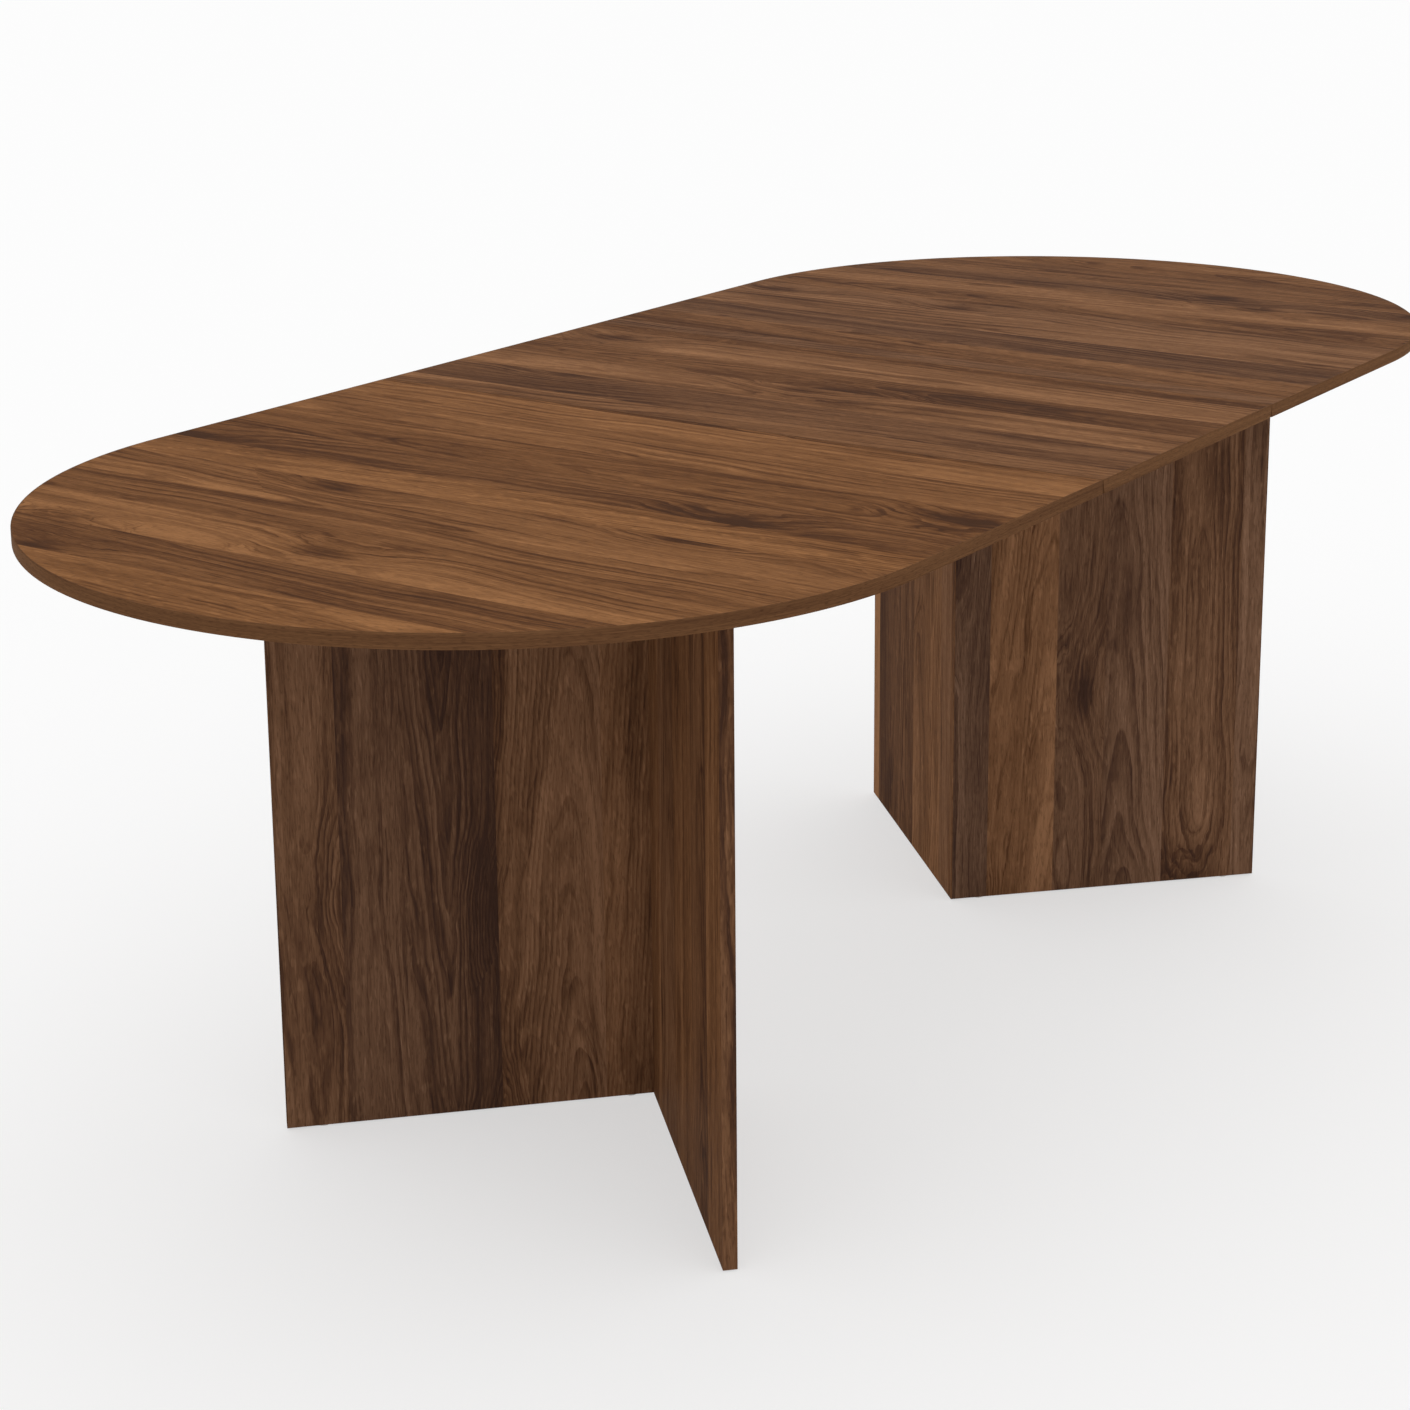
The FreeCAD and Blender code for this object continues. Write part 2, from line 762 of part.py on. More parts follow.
def slides(side, sign):
    """The channels, runners, cages, balls and battens of one half, and their screws."""
    channels = []
    runners = []
    cages = []
    battens = []
    balls = []
    windows = []
    channel_spots = []
    runner_spots = []
    batten_spots = []
    radius = float(size.ball_diameter) / 2
    window = radius + float(size.ball_gap)
    stations = [size.slide_length * share for share in (0.1, 0.5, 0.9)]
    batten_length = runner_end - batten_start
    for row in ROWS.values():
        channels.append(
            slide_member(f"{side}_channel", channel_corners(), size.slide_length, channel_start, sign, row)
        )
        runners.append(
            slide_member(f"{side}_runner", runner_corners(), size.slide_length, runner_start, sign, row)
        )
        cages.append(slide_member(f"{side}_cage", cage_corners(), size.cage_length, cage_start, sign, row))
        first = cage_start + (size.cage_length - size.ball_pitch * (BALLS_PER_ROW - 1)) / 2
        for index in range(BALLS_PER_ROW):
            for level in (-1, 1):
                middle = FreeCAD.Vector(
                    float(sign * (first + index * size.ball_pitch)),
                    float(sign * row * (rail_outer + ball_depth)),
                    float(slide_mid + level * ball_height),
                )
                balls.append(Part.makeSphere(radius, middle))
                tall = 4 * float(size.cage_gauge)
                windows.append(Part.makeCylinder(window, tall, middle - Z_AXIS * (tall / 2)))
        out = Y_AXIS * sign * row
        for station in stations:
            seat = (
                sign * (channel_start + station),
                sign * row * (rail_outer + size.slide_gauge),
                slide_mid,
            )
            channel_spots.append((seat, -out, size.short_screw, True))
            seat = (
                sign * (runner_start + station),
                sign * row * (batten_inner - size.slide_gauge),
                slide_mid,
            )
            runner_spots.append((seat, out, size.short_screw, True))
        centre = sign * (batten_start + batten_length / 2)
        middle = sign * row * (batten_inner + batten_outer) / 2
        battens.append(
            block(
                f"{side}_batten",
                (batten_length, size.batten_thickness, size.batten_height),
                (centre, middle, underside - size.batten_height),
            )
        )
        for share in (0.06, 0.42, 0.72, 0.97):
            seat = (
                sign * (batten_start + batten_length * share),
                middle,
                underside - size.batten_height,
            )
            batten_spots.append((seat, Z_AXIS, size.batten_height + size.screw_bite, True))
    node(f"{side}_slide_channels", group(f"{side}_slide_channels", channels))
    node(f"{side}_slide_runners", group(f"{side}_slide_runners", runners))
    node(f"{side}_ball_cages", group(f"{side}_ball_cages", cages))
    bore(f"{side}_ball_cages", windows)
    node(f"{side}_slide_balls", solids(f"{side}_slide_balls", balls))
    node(f"{side}_battens", group(f"{side}_battens", battens))
    screws(f"{side}_runner_screws", runner_spots, [f"{side}_slide_runners", f"{side}_battens"])
    screws(f"{side}_batten_screws", batten_spots, [f"{side}_battens", f"{side}_top_board"])
    return channel_spots


def rack_profile():
    """The rack of the right half in plan: teeth towards the pinion, one of them level with its axis."""
    pitch = math.pi * float(size.tooth_module)
    pitch_line = float(pitch_radius)
    half = pitch / 4 - float(size.backlash) / 2
    slope = math.tan(PRESSURE_ANGLE)
    at_tip = half - (pitch_line - float(tip_line)) * slope
    at_root = half + (float(root_line) - pitch_line) * slope
    before = math.floor(float(size.rack_overrun) / pitch - 0.5)
    after = math.ceil((float(travel) + float(size.rack_overrun) / 2) / pitch)
    points = [(-float(size.rack_overrun), -float(root_line))]
    for number in range(-before, after + 1):
        middle = number * pitch
        points.append((middle - at_root, -float(root_line)))
        points.append((middle - at_tip, -float(tip_line)))
        points.append((middle + at_tip, -float(tip_line)))
        points.append((middle + at_root, -float(root_line)))
    points.append((float(rack_end), -float(root_line)))
    points.append((float(rack_end), -float(rack_back_line)))
    points.append((-float(size.rack_overrun), -float(rack_back_line)))
    return points


def pinion_profile():
    """The pinion in plan, with a tooth space towards each rack."""
    module = float(size.tooth_module)
    pitch = float(pitch_radius)
    base = pitch * math.cos(PRESSURE_ANGLE)
    root = pitch - 1.25 * module
    tip = pitch + module
    half_tooth = math.pi / (2 * PINION_TEETH)
    involute = math.tan(PRESSURE_ANGLE) - PRESSURE_ANGLE
    flank = []
    for index in range(FLANK_STEPS):
        radius = base + (tip - base) * index / (FLANK_STEPS - 1)
        angle = math.acos(min(1.0, base / radius))
        flank.append((radius, half_tooth + involute - (math.tan(angle) - angle)))
    flank.insert(0, (root, flank[0][1]))
    points = []
    for number in range(PINION_TEETH):
        middle = math.pi / 2 + (number + 0.5) * 2 * math.pi / PINION_TEETH
        for radius, half in flank:
            points.append((radius * math.cos(middle - half), radius * math.sin(middle - half)))
        for radius, half in reversed(flank):
            points.append((radius * math.cos(middle + half), radius * math.sin(middle + half)))
    return points


def prism(points, bottom, height):
    """A solid from a plan outline."""
    corners = [FreeCAD.Vector(x, y, bottom) for x, y in points]
    wire = Part.makePolygon(corners + corners[:1])
    return Part.Face(wire).extrude(Z_AXIS * height)


def gear_train():
    """The pinion on its axle over the centre beam, and a rack under each half."""
    bottom = float(gear_bottom)
    width = float(size.gear_width)
    hole = float(size.axle_radius) + float(size.bore_gap)
    wheel = prism(pinion_profile(), bottom, width)
    wheel = wheel.cut(Part.makeCylinder(hole, width, FreeCAD.Vector(0, 0, bottom)))
    node("sync_pinion", solids("sync_pinion", [wheel]))
    shoulder = rod("axle_shoulder", size.axle_radius, gear_top + size.seat_gap - beam_top, (0, 0, beam_top))
    head = rod("axle_head", size.axle_head_radius, size.axle_head_height, (0, 0, gear_top + size.seat_gap))
    thread_foot = beam_top - size.axle_thread_length
    thread = rod("axle_thread", size.axle_thread_radius, size.axle_thread_length, (0, 0, thread_foot))
    node("pinion_axle", joined("pinion_axle", [shoulder, head, thread]))
    seat = FreeCAD.Vector(0, 0, float(thread_foot))
    around = float(size.axle_thread_radius) + float(size.bore_gap)
    bore("centre_beam", [Part.makeCylinder(around, float(size.axle_thread_length), seat)])
    ring = rod("spacer_ring", size.spacer_radius, size.spacer_height - size.seat_gap, (0, 0, beam_top))
    inner = rod("spacer_hole", size.axle_radius + size.bore_gap, size.spacer_height, (0, 0, beam_top))
    node("pinion_spacer", cut("pinion_spacer", ring, inner))
    for side, sign in SIDES.items():
        bar = prism(rack_profile(), bottom, width)
        if sign < 0:
            bar.rotate(FreeCAD.Vector(), Z_AXIS, 180)
        node(f"{side}_rack", solids(f"{side}_rack", [bar]))
        extents = (size.rack_block_length, size.rack_block_width, underside - gear_top)
        middle = -sign * (root_line + rack_back_line) / 2
        centre = (sign * (rack_block_start + size.rack_block_length / 2), middle, gear_top)
        node(f"{side}_rack_block", block(f"{side}_rack_block", extents, centre))


def lever(name, across, sign, opening):
    """A swivel lever whose arc slot hooks the leaf's pin, open on the side that the pin comes in by."""
    wide = size.lever_width
    pin = size.keeper_pin_radius
    slot_inner = size.lock_reach - pin - size.slot_play
    slot_outer = size.lock_reach + pin + size.seat_gap
    reach = slot_outer + size.hook_thickness
    thick = size.lever_thickness
    arm = block(name + "_arm", (reach, wide, thick), (reach / 2, 0, 0))
    hub = rod(name + "_hub", wide / 2, thick, (0, 0, 0))
    tail = block(name + "_tail", (size.lever_tail, wide / 2, thick), (-size.lever_tail / 2, 0, 0))
    grip = rod(name + "_grip", wide / 4, thick, (-size.lever_tail, 0, 0))
    plain = joined(name + "_plain", [arm, hub, tail, grip])
    ring = cut(
        name + "_ring",
        rod(name + "_ring_outer", slot_outer, thick, (0, 0, 0)),
        rod(name + "_ring_inner", slot_inner, thick, (0, 0, 0)),
    )
    stop = pin + size.seat_gap
    window = (reach - slot_inner / 2, wide / 2 + stop, thick)
    mouth = block(
        name + "_mouth",
        window,
        ((reach + slot_inner / 2) / 2, opening * (wide / 2 - stop) / 2, 0),
    )
    slot = doc.addObject("Part::MultiCommon", name + "_slot")
    slot.Shapes = [ring, mouth]
    hole = rod(name + "_hole", size.pivot_radius + size.bore_gap, thick, (0, 0, 0))
    lever_plate = cut(name, plain, group(name + "_cuts", [slot, hole]))
    turn = FreeCAD.Rotation(Z_AXIS, 180 if sign > 0 else 0)
    return place(lever_plate, (sign * lock_place, across, lever_bottom), turn)


def locks(side, sign):
    """The swivel locks of one half: plate, pivot and lever, at two places across the table."""
    apart = end_radius - (size.left_lock_inset if sign < 0 else size.right_lock_inset)
    plates = []
    pivots = []
    spots = []
    plate_bottom = underside - size.plate_thickness
    for row_name, row in ROWS.items():
        across = row * apart
        spot = sign * lock_place
        plate = block(
            f"{side}_lock_plate",
            (size.plate_width, size.plate_length, size.plate_thickness),
            (spot, across, plate_bottom),
        )
        boss_bottom = lever_top + size.seat_gap
        boss_height = plate_bottom - boss_bottom
        boss = rod(f"{side}_lock_boss", size.boss_radius, boss_height, (spot, across, boss_bottom))
        hole = rod(
            f"{side}_lock_hole",
            size.pivot_radius + size.bore_gap,
            underside - boss_bottom,
            (spot, across, boss_bottom),
        )
        plates.append(cut(f"{side}_lock_base", joined(f"{side}_lock_body", [plate, boss]), hole))
        head_top = lever_bottom - size.seat_gap
        shank_height = underside - head_top
        shank = rod(f"{side}_pivot_shank", size.pivot_radius, shank_height, (spot, across, head_top))
        head_bottom = head_top - size.pivot_head_height
        head = rod(
            f"{side}_pivot_head",
            size.pivot_head_radius,
            size.pivot_head_height,
            (spot, across, head_bottom),
        )
        pivots.append(joined(f"{side}_lock_pivot", [shank, head]))
        name = f"{side}_{row_name}_lock_lever"
        node(name, lever(name, across, sign, row))
        for shift in (-0.36, 0.36):
            seat = (spot, across + size.plate_length * shift, plate_bottom)
            spots.append((seat, Z_AXIS, size.plate_thickness + size.screw_bite, False))
    node(f"{side}_lock_plates", group(f"{side}_lock_plates", plates))
    node(f"{side}_lock_pivots", group(f"{side}_lock_pivots", pivots))
    block_middle = -sign * (root_line + rack_back_line) / 2
    for share in (0.2, 0.8):
        along = sign * (rack_block_start + size.rack_block_length * share)
        length = underside - gear_bottom + size.screw_bite
        spots.append(((along, block_middle, gear_bottom), Z_AXIS, length, True))
    held = ["top_board", "lock_plates", "rack", "rack_block"]
    screws(f"{side}_fitting_screws", spots, [f"{side}_{name}" for name in held])


def leaf_fittings():
    """The keepers that the locks hook, the blocks that steady the leaf, and their screws."""
    keepers = []
    steadies = []
    spots = []
    plate_bottom = underside - size.plate_thickness
    block_place = rail_inner - size.block_play - size.block_width / 2
    block_bottom = underside - size.block_height
    for side, sign in SIDES.items():
        apart = end_radius - (size.left_lock_inset if sign < 0 else size.right_lock_inset)
        for row in ROWS.values():
            along = sign * keeper_place
            across = row * apart
            plate = block(
                f"{side}_keeper_plate",
                (size.plate_width, size.plate_length, size.plate_thickness),
                (along, across, plate_bottom),
            )
            pin_bottom = plate_bottom - size.keeper_pin_length
            foot = (along, across, pin_bottom)
            pin = rod(f"{side}_keeper_pin", size.keeper_pin_radius, size.keeper_pin_length, foot)
            keepers.append(joined(f"{side}_keeper", [plate, pin]))
            for shift in (-0.36, 0.36):
                seat = (along, across + size.plate_length * shift, plate_bottom)
                spots.append((seat, Z_AXIS, size.plate_thickness + size.screw_bite, False))
            centre = (sign * size.pad_distance / 2, row * block_place, block_bottom)
            extents = (size.block_length, size.block_width, size.block_height)
            steadies.append(block(f"{side}_steady", extents, centre))
            for shift in (-0.3, 0.3):
                seat = (centre[0] + size.block_length * shift, centre[1], block_bottom)
                spots.append((seat, Z_AXIS, size.block_height + size.screw_bite, True))
    node("leaf_keepers", group("leaf_keepers", keepers))
    node("leaf_steady_blocks", group("leaf_steady_blocks", steadies))
    screws("leaf_screws", spots, ["leaf_board", "leaf_keepers", "leaf_steady_blocks"])


def finished():
    """Each sub-part with its fastener holes cut, checked for errors."""
    done = {}
    for label, thing in nodes.items():
        if label not in bores:
            done[label] = thing
            continue
        thing.Label = label + "_blank"
        result = cut(label + "_bored", thing, solids(label + "_bores", bores[label]))
        result.Label = label
        done[label] = result
    doc.recompute()
    for thing in doc.Objects:
        if "Invalid" in thing.State or "Error" in thing.State:
            raise RuntimeError(f"{thing.Label} did not build: {thing.State}")
    for label, thing in done.items():
        if thing.Shape.isNull() or not thing.Shape.isValid() or not thing.Shape.Solids:
            raise RuntimeError(f"{label} has no valid solid")
    return done


leaf()
channel_places = []
for side_name, side_sign in SIDES.items():
    half_top(side_name, side_sign)
    for is_full in (True, False):
        leg_panel(side_name, side_sign, is_full)
    leg_bands(side_name, side_sign)
base_frame()
brackets()
corner_dowels()
foot_glides()
for side_name, side_sign in SIDES.items():
    channel_places += slides(side_name, side_sign)
channel_holders = [f"{name}_rail" for name in ROWS] + [f"{name}_slide_channels" for name in SIDES]
screws("channel_screws", channel_places, channel_holders)
gear_train()
for side_name, side_sign in SIDES.items():
    locks(side_name, side_sign)
leaf_fittings()

os.makedirs("parts", exist_ok=True)
for node_label, sub_part in finished().items():
    sub_part.Shape.exportStep(os.path.join("parts", node_label + ".step"))
    print(node_label, len(sub_part.Shape.Solids), round(sub_part.Shape.Volume))
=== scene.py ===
"""Looks of an extendable dining table: a thin walnut top on two V-shaped pedestals.

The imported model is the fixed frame. Boards, rails and fittings are dressed where they stand. The top's edge
bands and the screws are rebuilt with the finer shape that the solids leave out.
"""

import logging
import math
from collections.abc import Sequence
from dataclasses import dataclass, replace
from enum import Enum

import bmesh
import bpy
import numpy as np
from bpy.types import ColorRamp, Material, Mesh, Node, NodeSocket, NodeTree
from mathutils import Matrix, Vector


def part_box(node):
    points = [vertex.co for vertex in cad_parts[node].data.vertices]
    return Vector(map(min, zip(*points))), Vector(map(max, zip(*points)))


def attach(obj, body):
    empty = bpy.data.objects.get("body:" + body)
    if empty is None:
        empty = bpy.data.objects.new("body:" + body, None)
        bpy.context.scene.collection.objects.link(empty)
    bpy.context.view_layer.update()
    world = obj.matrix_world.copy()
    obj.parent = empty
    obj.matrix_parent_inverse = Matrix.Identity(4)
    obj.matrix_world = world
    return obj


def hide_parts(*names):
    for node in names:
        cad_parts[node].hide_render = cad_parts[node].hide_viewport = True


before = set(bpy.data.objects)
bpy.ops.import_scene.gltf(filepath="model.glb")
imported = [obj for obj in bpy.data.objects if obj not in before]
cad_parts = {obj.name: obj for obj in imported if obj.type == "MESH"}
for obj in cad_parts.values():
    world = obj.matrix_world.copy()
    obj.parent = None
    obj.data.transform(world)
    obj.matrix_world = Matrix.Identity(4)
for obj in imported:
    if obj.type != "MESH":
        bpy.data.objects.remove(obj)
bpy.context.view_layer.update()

Pair = tuple[float, float]
Place = Direction = Colour = tuple[float, float, float]
Stops = Sequence[tuple[float, Colour]]
Swept = tuple[list, list, list]

LOG = logging.getLogger("dining_table")
BAND_MAP = "run_and_rise"
MM = 0.001
WELD_DIGITS = 7
LENGTH_DIGITS = 5
SHARP_ANGLE = math.radians(30)
DIAGONAL = math.sqrt(0.5)
LENGTHWAYS = (1.0, 0.0, 0.0)
CROSSWAYS = (0.0, 1.0, 0.0)
UPRIGHT = (0.0, 0.0, 1.0)
FALLING = (DIAGONAL, -DIAGONAL, 0.0)
RISING = (DIAGONAL, DIAGONAL, 0.0)
WHITE = (1.0, 1.0, 1.0)

# The colour's place among the results of a Mix node
MIXED_COLOUR = 2


class Side(Enum):
    """The two ends of the table, by the sign of their place along it."""

    LEFT = -1
    RIGHT = 1

    @property
    def label(self) -> str:
        """The word that names this side in the frame's nodes."""
        return self.name.lower()


class Drive(Enum):
    """How the head of a screw sits."""

    PAN = "pan"
    SUNK = "sunk"


class Level:
    """A number in a node tree: a socket with arithmetic."""

    def __init__(self, tree: NodeTree, socket: NodeSocket) -> None:
        """Keeps the tree and the socket that gives the number."""
        self.tree = tree
        self.socket = socket

    def maths(self, operation: str, *others: "Number", first: bool = True) -> "Level":
        """Adds a Math node.

        Args:
            operation: The Math node's operation.
            others: The other operands.
            first: Whether this level is the first operand, or the second one.

        Returns:
            The node's result.
        """
        node = self.tree.nodes.new("ShaderNodeMath")
        node.operation = operation
        operands = [self, *others] if first else [*others, self]
        for socket, operand in zip(node.inputs, operands):
            Graph(self.tree).feed(socket, operand)
        return Level(self.tree, node.outputs[0])

    def __add__(self, other: "Number") -> "Level":
        """Sum."""
        return self.maths("ADD", other)

    __radd__ = __add__

    def __sub__(self, other: "Number") -> "Level":
        """Difference."""
        return self.maths("SUBTRACT", other)

    def __rsub__(self, other: float) -> "Level":
        """Difference from a plain number."""
        return self.maths("SUBTRACT", other, first=False)

    def __mul__(self, other: "Number") -> "Level":
        """Product."""
        return self.maths("MULTIPLY", other)

    __rmul__ = __mul__

    def __truediv__(self, other: "Number") -> "Level":
        """Quotient."""
        return self.maths("DIVIDE", other)

    def least(self, other: "Number") -> "Level":
        """The smaller of two."""
        return self.maths("MINIMUM", other)

    def most(self, other: "Number") -> "Level":
        """The larger of two."""
        return self.maths("MAXIMUM", other)

    def rise(self, low: float, high: float) -> "Level":
        """A smooth step from 0 at one level to 1 at another, in either order."""
        share = ((self - low) * (1.0 / (high - low))).most(0.0).least(1.0)
        return share * share * (3.0 - 2.0 * share)


Number = Level | float


class Graph:
    """A node tree and the few ways in which this script adds to it."""

    def __init__(self, tree: NodeTree) -> None:
        """Keeps the tree."""
        self.tree = tree

    def node(self, kind: str, settings: dict | None = None, sockets: dict | None = None) -> Node:
        """Adds any node.

        Args:
            kind: The node's type.
            settings: Its properties, set first; "stops" gives a ramp's (place, colour) pairs.
            sockets: Values, levels or output sockets by the name or identifier of its inputs.

        Returns:
            The node.
        """
        node = self.tree.nodes.new(kind)
        for key, value in (settings or {}).items():
            if key == "stops":
                self.set_stops(node.color_ramp, value)
            else:
                setattr(node, key, value)
        for key, value in (sockets or {}).items():
            socket = next(s for s in node.inputs if s.enabled and key in (s.identifier, s.name))
            self.feed(socket, value)
        return node

    def feed(self, socket: NodeSocket, value: object) -> None:
        """Links an input, or sets its plain value.

        Args:
            socket: The input.
            value: A level, an output socket, a list of them, or a plain value, where a colour has no alpha.
        """
        for item in value if isinstance(value, list) else [value]:
            source = item.socket if isinstance(item, Level) else item
            if isinstance(source, NodeSocket):
                self.tree.links.new(source, socket)
            else:
                socket.default_value = (*item, 1.0) if socket.type == "RGBA" else item

    @staticmethod
    def set_stops(ramp: ColorRamp, stops: Stops) -> None:
        """Gives a ramp its stops.

        Args:
            ramp: The ramp.
            stops: The place and the colour of each stop.
        """
        while len(ramp.elements) < len(stops):
            ramp.elements.new(0.5)
        for element, (place, colour) in zip(ramp.elements, stops):
            element.position = place
            element.color = (*colour, 1.0)

    def level(self, node: Node, outlet: str | int = 0) -> Level:
        """One output of a node as a number."""
        return Level(self.tree, node.outputs[outlet])

    def vector(self, x: Number, y: Number, z: Number) -> NodeSocket:
        """A vector from three numbers."""
        return self.node("ShaderNodeCombineXYZ", None, {"X": x, "Y": y, "Z": z}).outputs[0]

    def seen(self) -> Level:
        """Tells what is looked at from the light that it gives.

        Returns:
            1 where a surface is looked at, mirrored or seen through glass, and 0 elsewhere.
        """
        path = self.node("ShaderNodeLightPath")
        ways = ("Camera", "Glossy", "Transmission")
        camera, glossy, through = (self.level(path, f"Is {way} Ray") for way in ways)
        return camera.most(glossy).most(through)


class Painter(Graph):
    """Builds one material: a Principled shader and the nodes that feed it."""

    def __init__(self, name: str) -> None:
        """Starts a material.

        Args:
            name: The material's name.
        """
        self.material = bpy.data.materials.new(name)
        self.material.use_nodes = True
        super().__init__(self.material.node_tree)
        self.tree.nodes.clear()
        self.shader = self.tree.nodes.new("ShaderNodeBsdfPrincipled")
        self.output = self.tree.nodes.new("ShaderNodeOutputMaterial")
        self.tree.links.new(self.shader.outputs[0], self.output.inputs["Surface"])

    def place(self) -> NodeSocket:
        """The point on the surface in the object's own frame."""
        return self.node("ShaderNodeTexCoord").outputs["Object"]

    def along(self, point: NodeSocket, direction: Direction) -> Level:
        """How far a point lies in a direction, in metres."""
        sockets = {"Vector": point, "Vector_001": direction}
        return self.level(self.node("ShaderNodeVectorMath", {"operation": "DOT_PRODUCT"}, sockets), "Value")

    def noise(self, point: NodeSocket, pace: float, detail: float = 2.0, rough: float = 0.5) -> Level:
        """Smooth noise from 0 to 1, with about so many changes to a unit."""
        sockets = {"Vector": point, "Scale": pace, "Detail": detail, "Roughness": rough}
        return self.level(self.node("ShaderNodeTexNoise", {"noise_dimensions": "3D"}, sockets))

    def ramp(self, factor: Level, stops: Stops) -> NodeSocket:
        """A colour from a number."""
        return self.node("ShaderNodeValToRGB", {"stops": stops}, {"Fac": factor}).outputs["Color"]

    def blend(self, factor: Level, first: object, second: object) -> NodeSocket:
        """A mix of two colours, by the share of the second one."""
        sockets = {"Factor_Float": factor, "A_Color": first, "B_Color": second}
        return self.node("ShaderNodeMix", {"data_type": "RGBA"}, sockets).outputs[MIXED_COLOUR]

    def relief(self, height: Level, depth: float) -> None:
        """Raises the surface by a height, at a depth in metres."""
        bump = self.node("ShaderNodeBump", None, {"Height": height, "Distance": depth, "Strength": 1.0})
        self.feed(self.shader.inputs["Normal"], bump.outputs[0])

    def bleach(self, share: float) -> None:
        """Mixes white into what is seen or mirrored of a surface, and leaves the light it gives alone.

        Args:
            share: The share of white.
        """
        white = self.node("ShaderNodeEmission", None, {"Color": WHITE, "Strength": 1.0})
        shaders = {"Shader": self.shader.outputs[0], "Shader_001": white.outputs[0]}
        mixed = self.node("ShaderNodeMixShader", None, {"Fac": self.seen() * share, **shaders})
        self.tree.links.new(mixed.outputs[0], self.output.inputs["Surface"])

    def set(self, **values: object) -> None:
        """Sets the shader's own sockets, where an underscore in a name stands for a space."""
        for key, value in values.items():
            self.feed(self.shader.inputs[key.replace("_", " ")], value)


@dataclass(frozen=True)
class Stretch:
    """A noise with its own pace in each of two directions, in changes per metre.

    It swings about 0. With a step, it is 0 below the first of two levels and 1 above the second.
    """

    first: float
    second: float
    detail: float = 2.0
    rough: float = 0.5
    apart: float = 0.0
    ring_pace: float = 0.0
    step: Pair | None = None
    strength: float = 1.0

    def at(self, paint: Painter, place: tuple[Level, Level, Number], rings: Number = 0) -> Level:
        """Builds the noise.

        Args:
            paint: The material's builder.
            place: The places in the two directions, in metres, and a number that sets the noise apart.
            rings: The distance from the pith, for a noise that follows the rings.

        Returns:
            The noise.
        """
        first, second, own = place
        over = first * self.first + rings * self.ring_pace
        spot = paint.vector(over, second * self.second, own + self.apart)
        noise = paint.noise(spot, 1.0, self.detail, self.rough)
        return (noise.rise(*self.step) if self.step else noise - 0.5) * self.strength


# Noises of a board, over its staves or rings and then along the grain
BOLD = Stretch(18.0, 2.6, detail=1.0, step=(0.34, 0.66))
BROAD = Stretch(46.0, 0.9, apart=3.0, strength=0.85)
CLOUD = Stretch(20.0, 4.0, apart=5.0, step=(0.50, 0.78), strength=0.20)
STREAK = Stretch(60.0, 2.2, detail=3.0, rough=0.6, ring_pace=150.0)
LINES = Stretch(150.0, 8.0, rough=0.6, ring_pace=300.0, step=(0.54, 0.70))
GLINTS = Stretch(420.0, 50.0, detail=1.0, apart=2.0, ring_pace=260.0, step=(0.58, 0.72), strength=0.17)
FIBRE = Stretch(620.0, 40.0, rough=0.6)
PORES = Stretch(700.0, 90.0, detail=1.0, step=(0.56, 0.68))
WANDER = Stretch(4.0, 2.0)
SWAY = Stretch(22.0, 7.0, apart=9.0, strength=0.014)
RAGGED = Stretch(60.0, 24.0, strength=0.12)

# Noises of an edge band, along the edge and then up the band
BAND_BROAD = Stretch(1.6, 60.0, apart=4.0, strength=0.6)
BAND_STREAK = Stretch(4.0, 420.0, detail=3.0, rough=0.6, apart=1.0, strength=0.5)
BAND_FIBRE = Stretch(60.0, 1500.0, apart=2.0)
BAND_PORES = Stretch(140.0, 1500.0, detail=0.0, apart=7.0, step=(0.58, 0.70))


@dataclass(frozen=True)
class Timber:
    """A timber's colours from its darkest streaks to its palest, their places on a ramp, and its sheen."""

    tones: tuple[Colour, ...]
    places: tuple[float, ...] = (0.0, 0.28, 0.5, 0.74, 1.0)
    roughness: float = 0.60
    specular: float = 0.006

    def stops(self, tint: Colour = WHITE) -> Stops:
        """The tones as a ramp's stops, each of them times a tint."""
        tinted = [tuple(part * share for part, share in zip(tone, tint)) for tone in self.tones]
        return list(zip(self.places, tinted))


WALNUT = Timber((
    (0.060, 0.0245, 0.0105),
    (0.110, 0.0435, 0.0155),
    (0.168, 0.0700, 0.0243),
    (0.236, 0.1020, 0.0367),
    (0.320, 0.1430, 0.0523),
))
BEECH = Timber((
    (0.40, 0.22, 0.11),
    (0.47, 0.27, 0.14),
    (0.53, 0.32, 0.17),
    (0.58, 0.37, 0.21),
    (0.63, 0.42, 0.25),
))


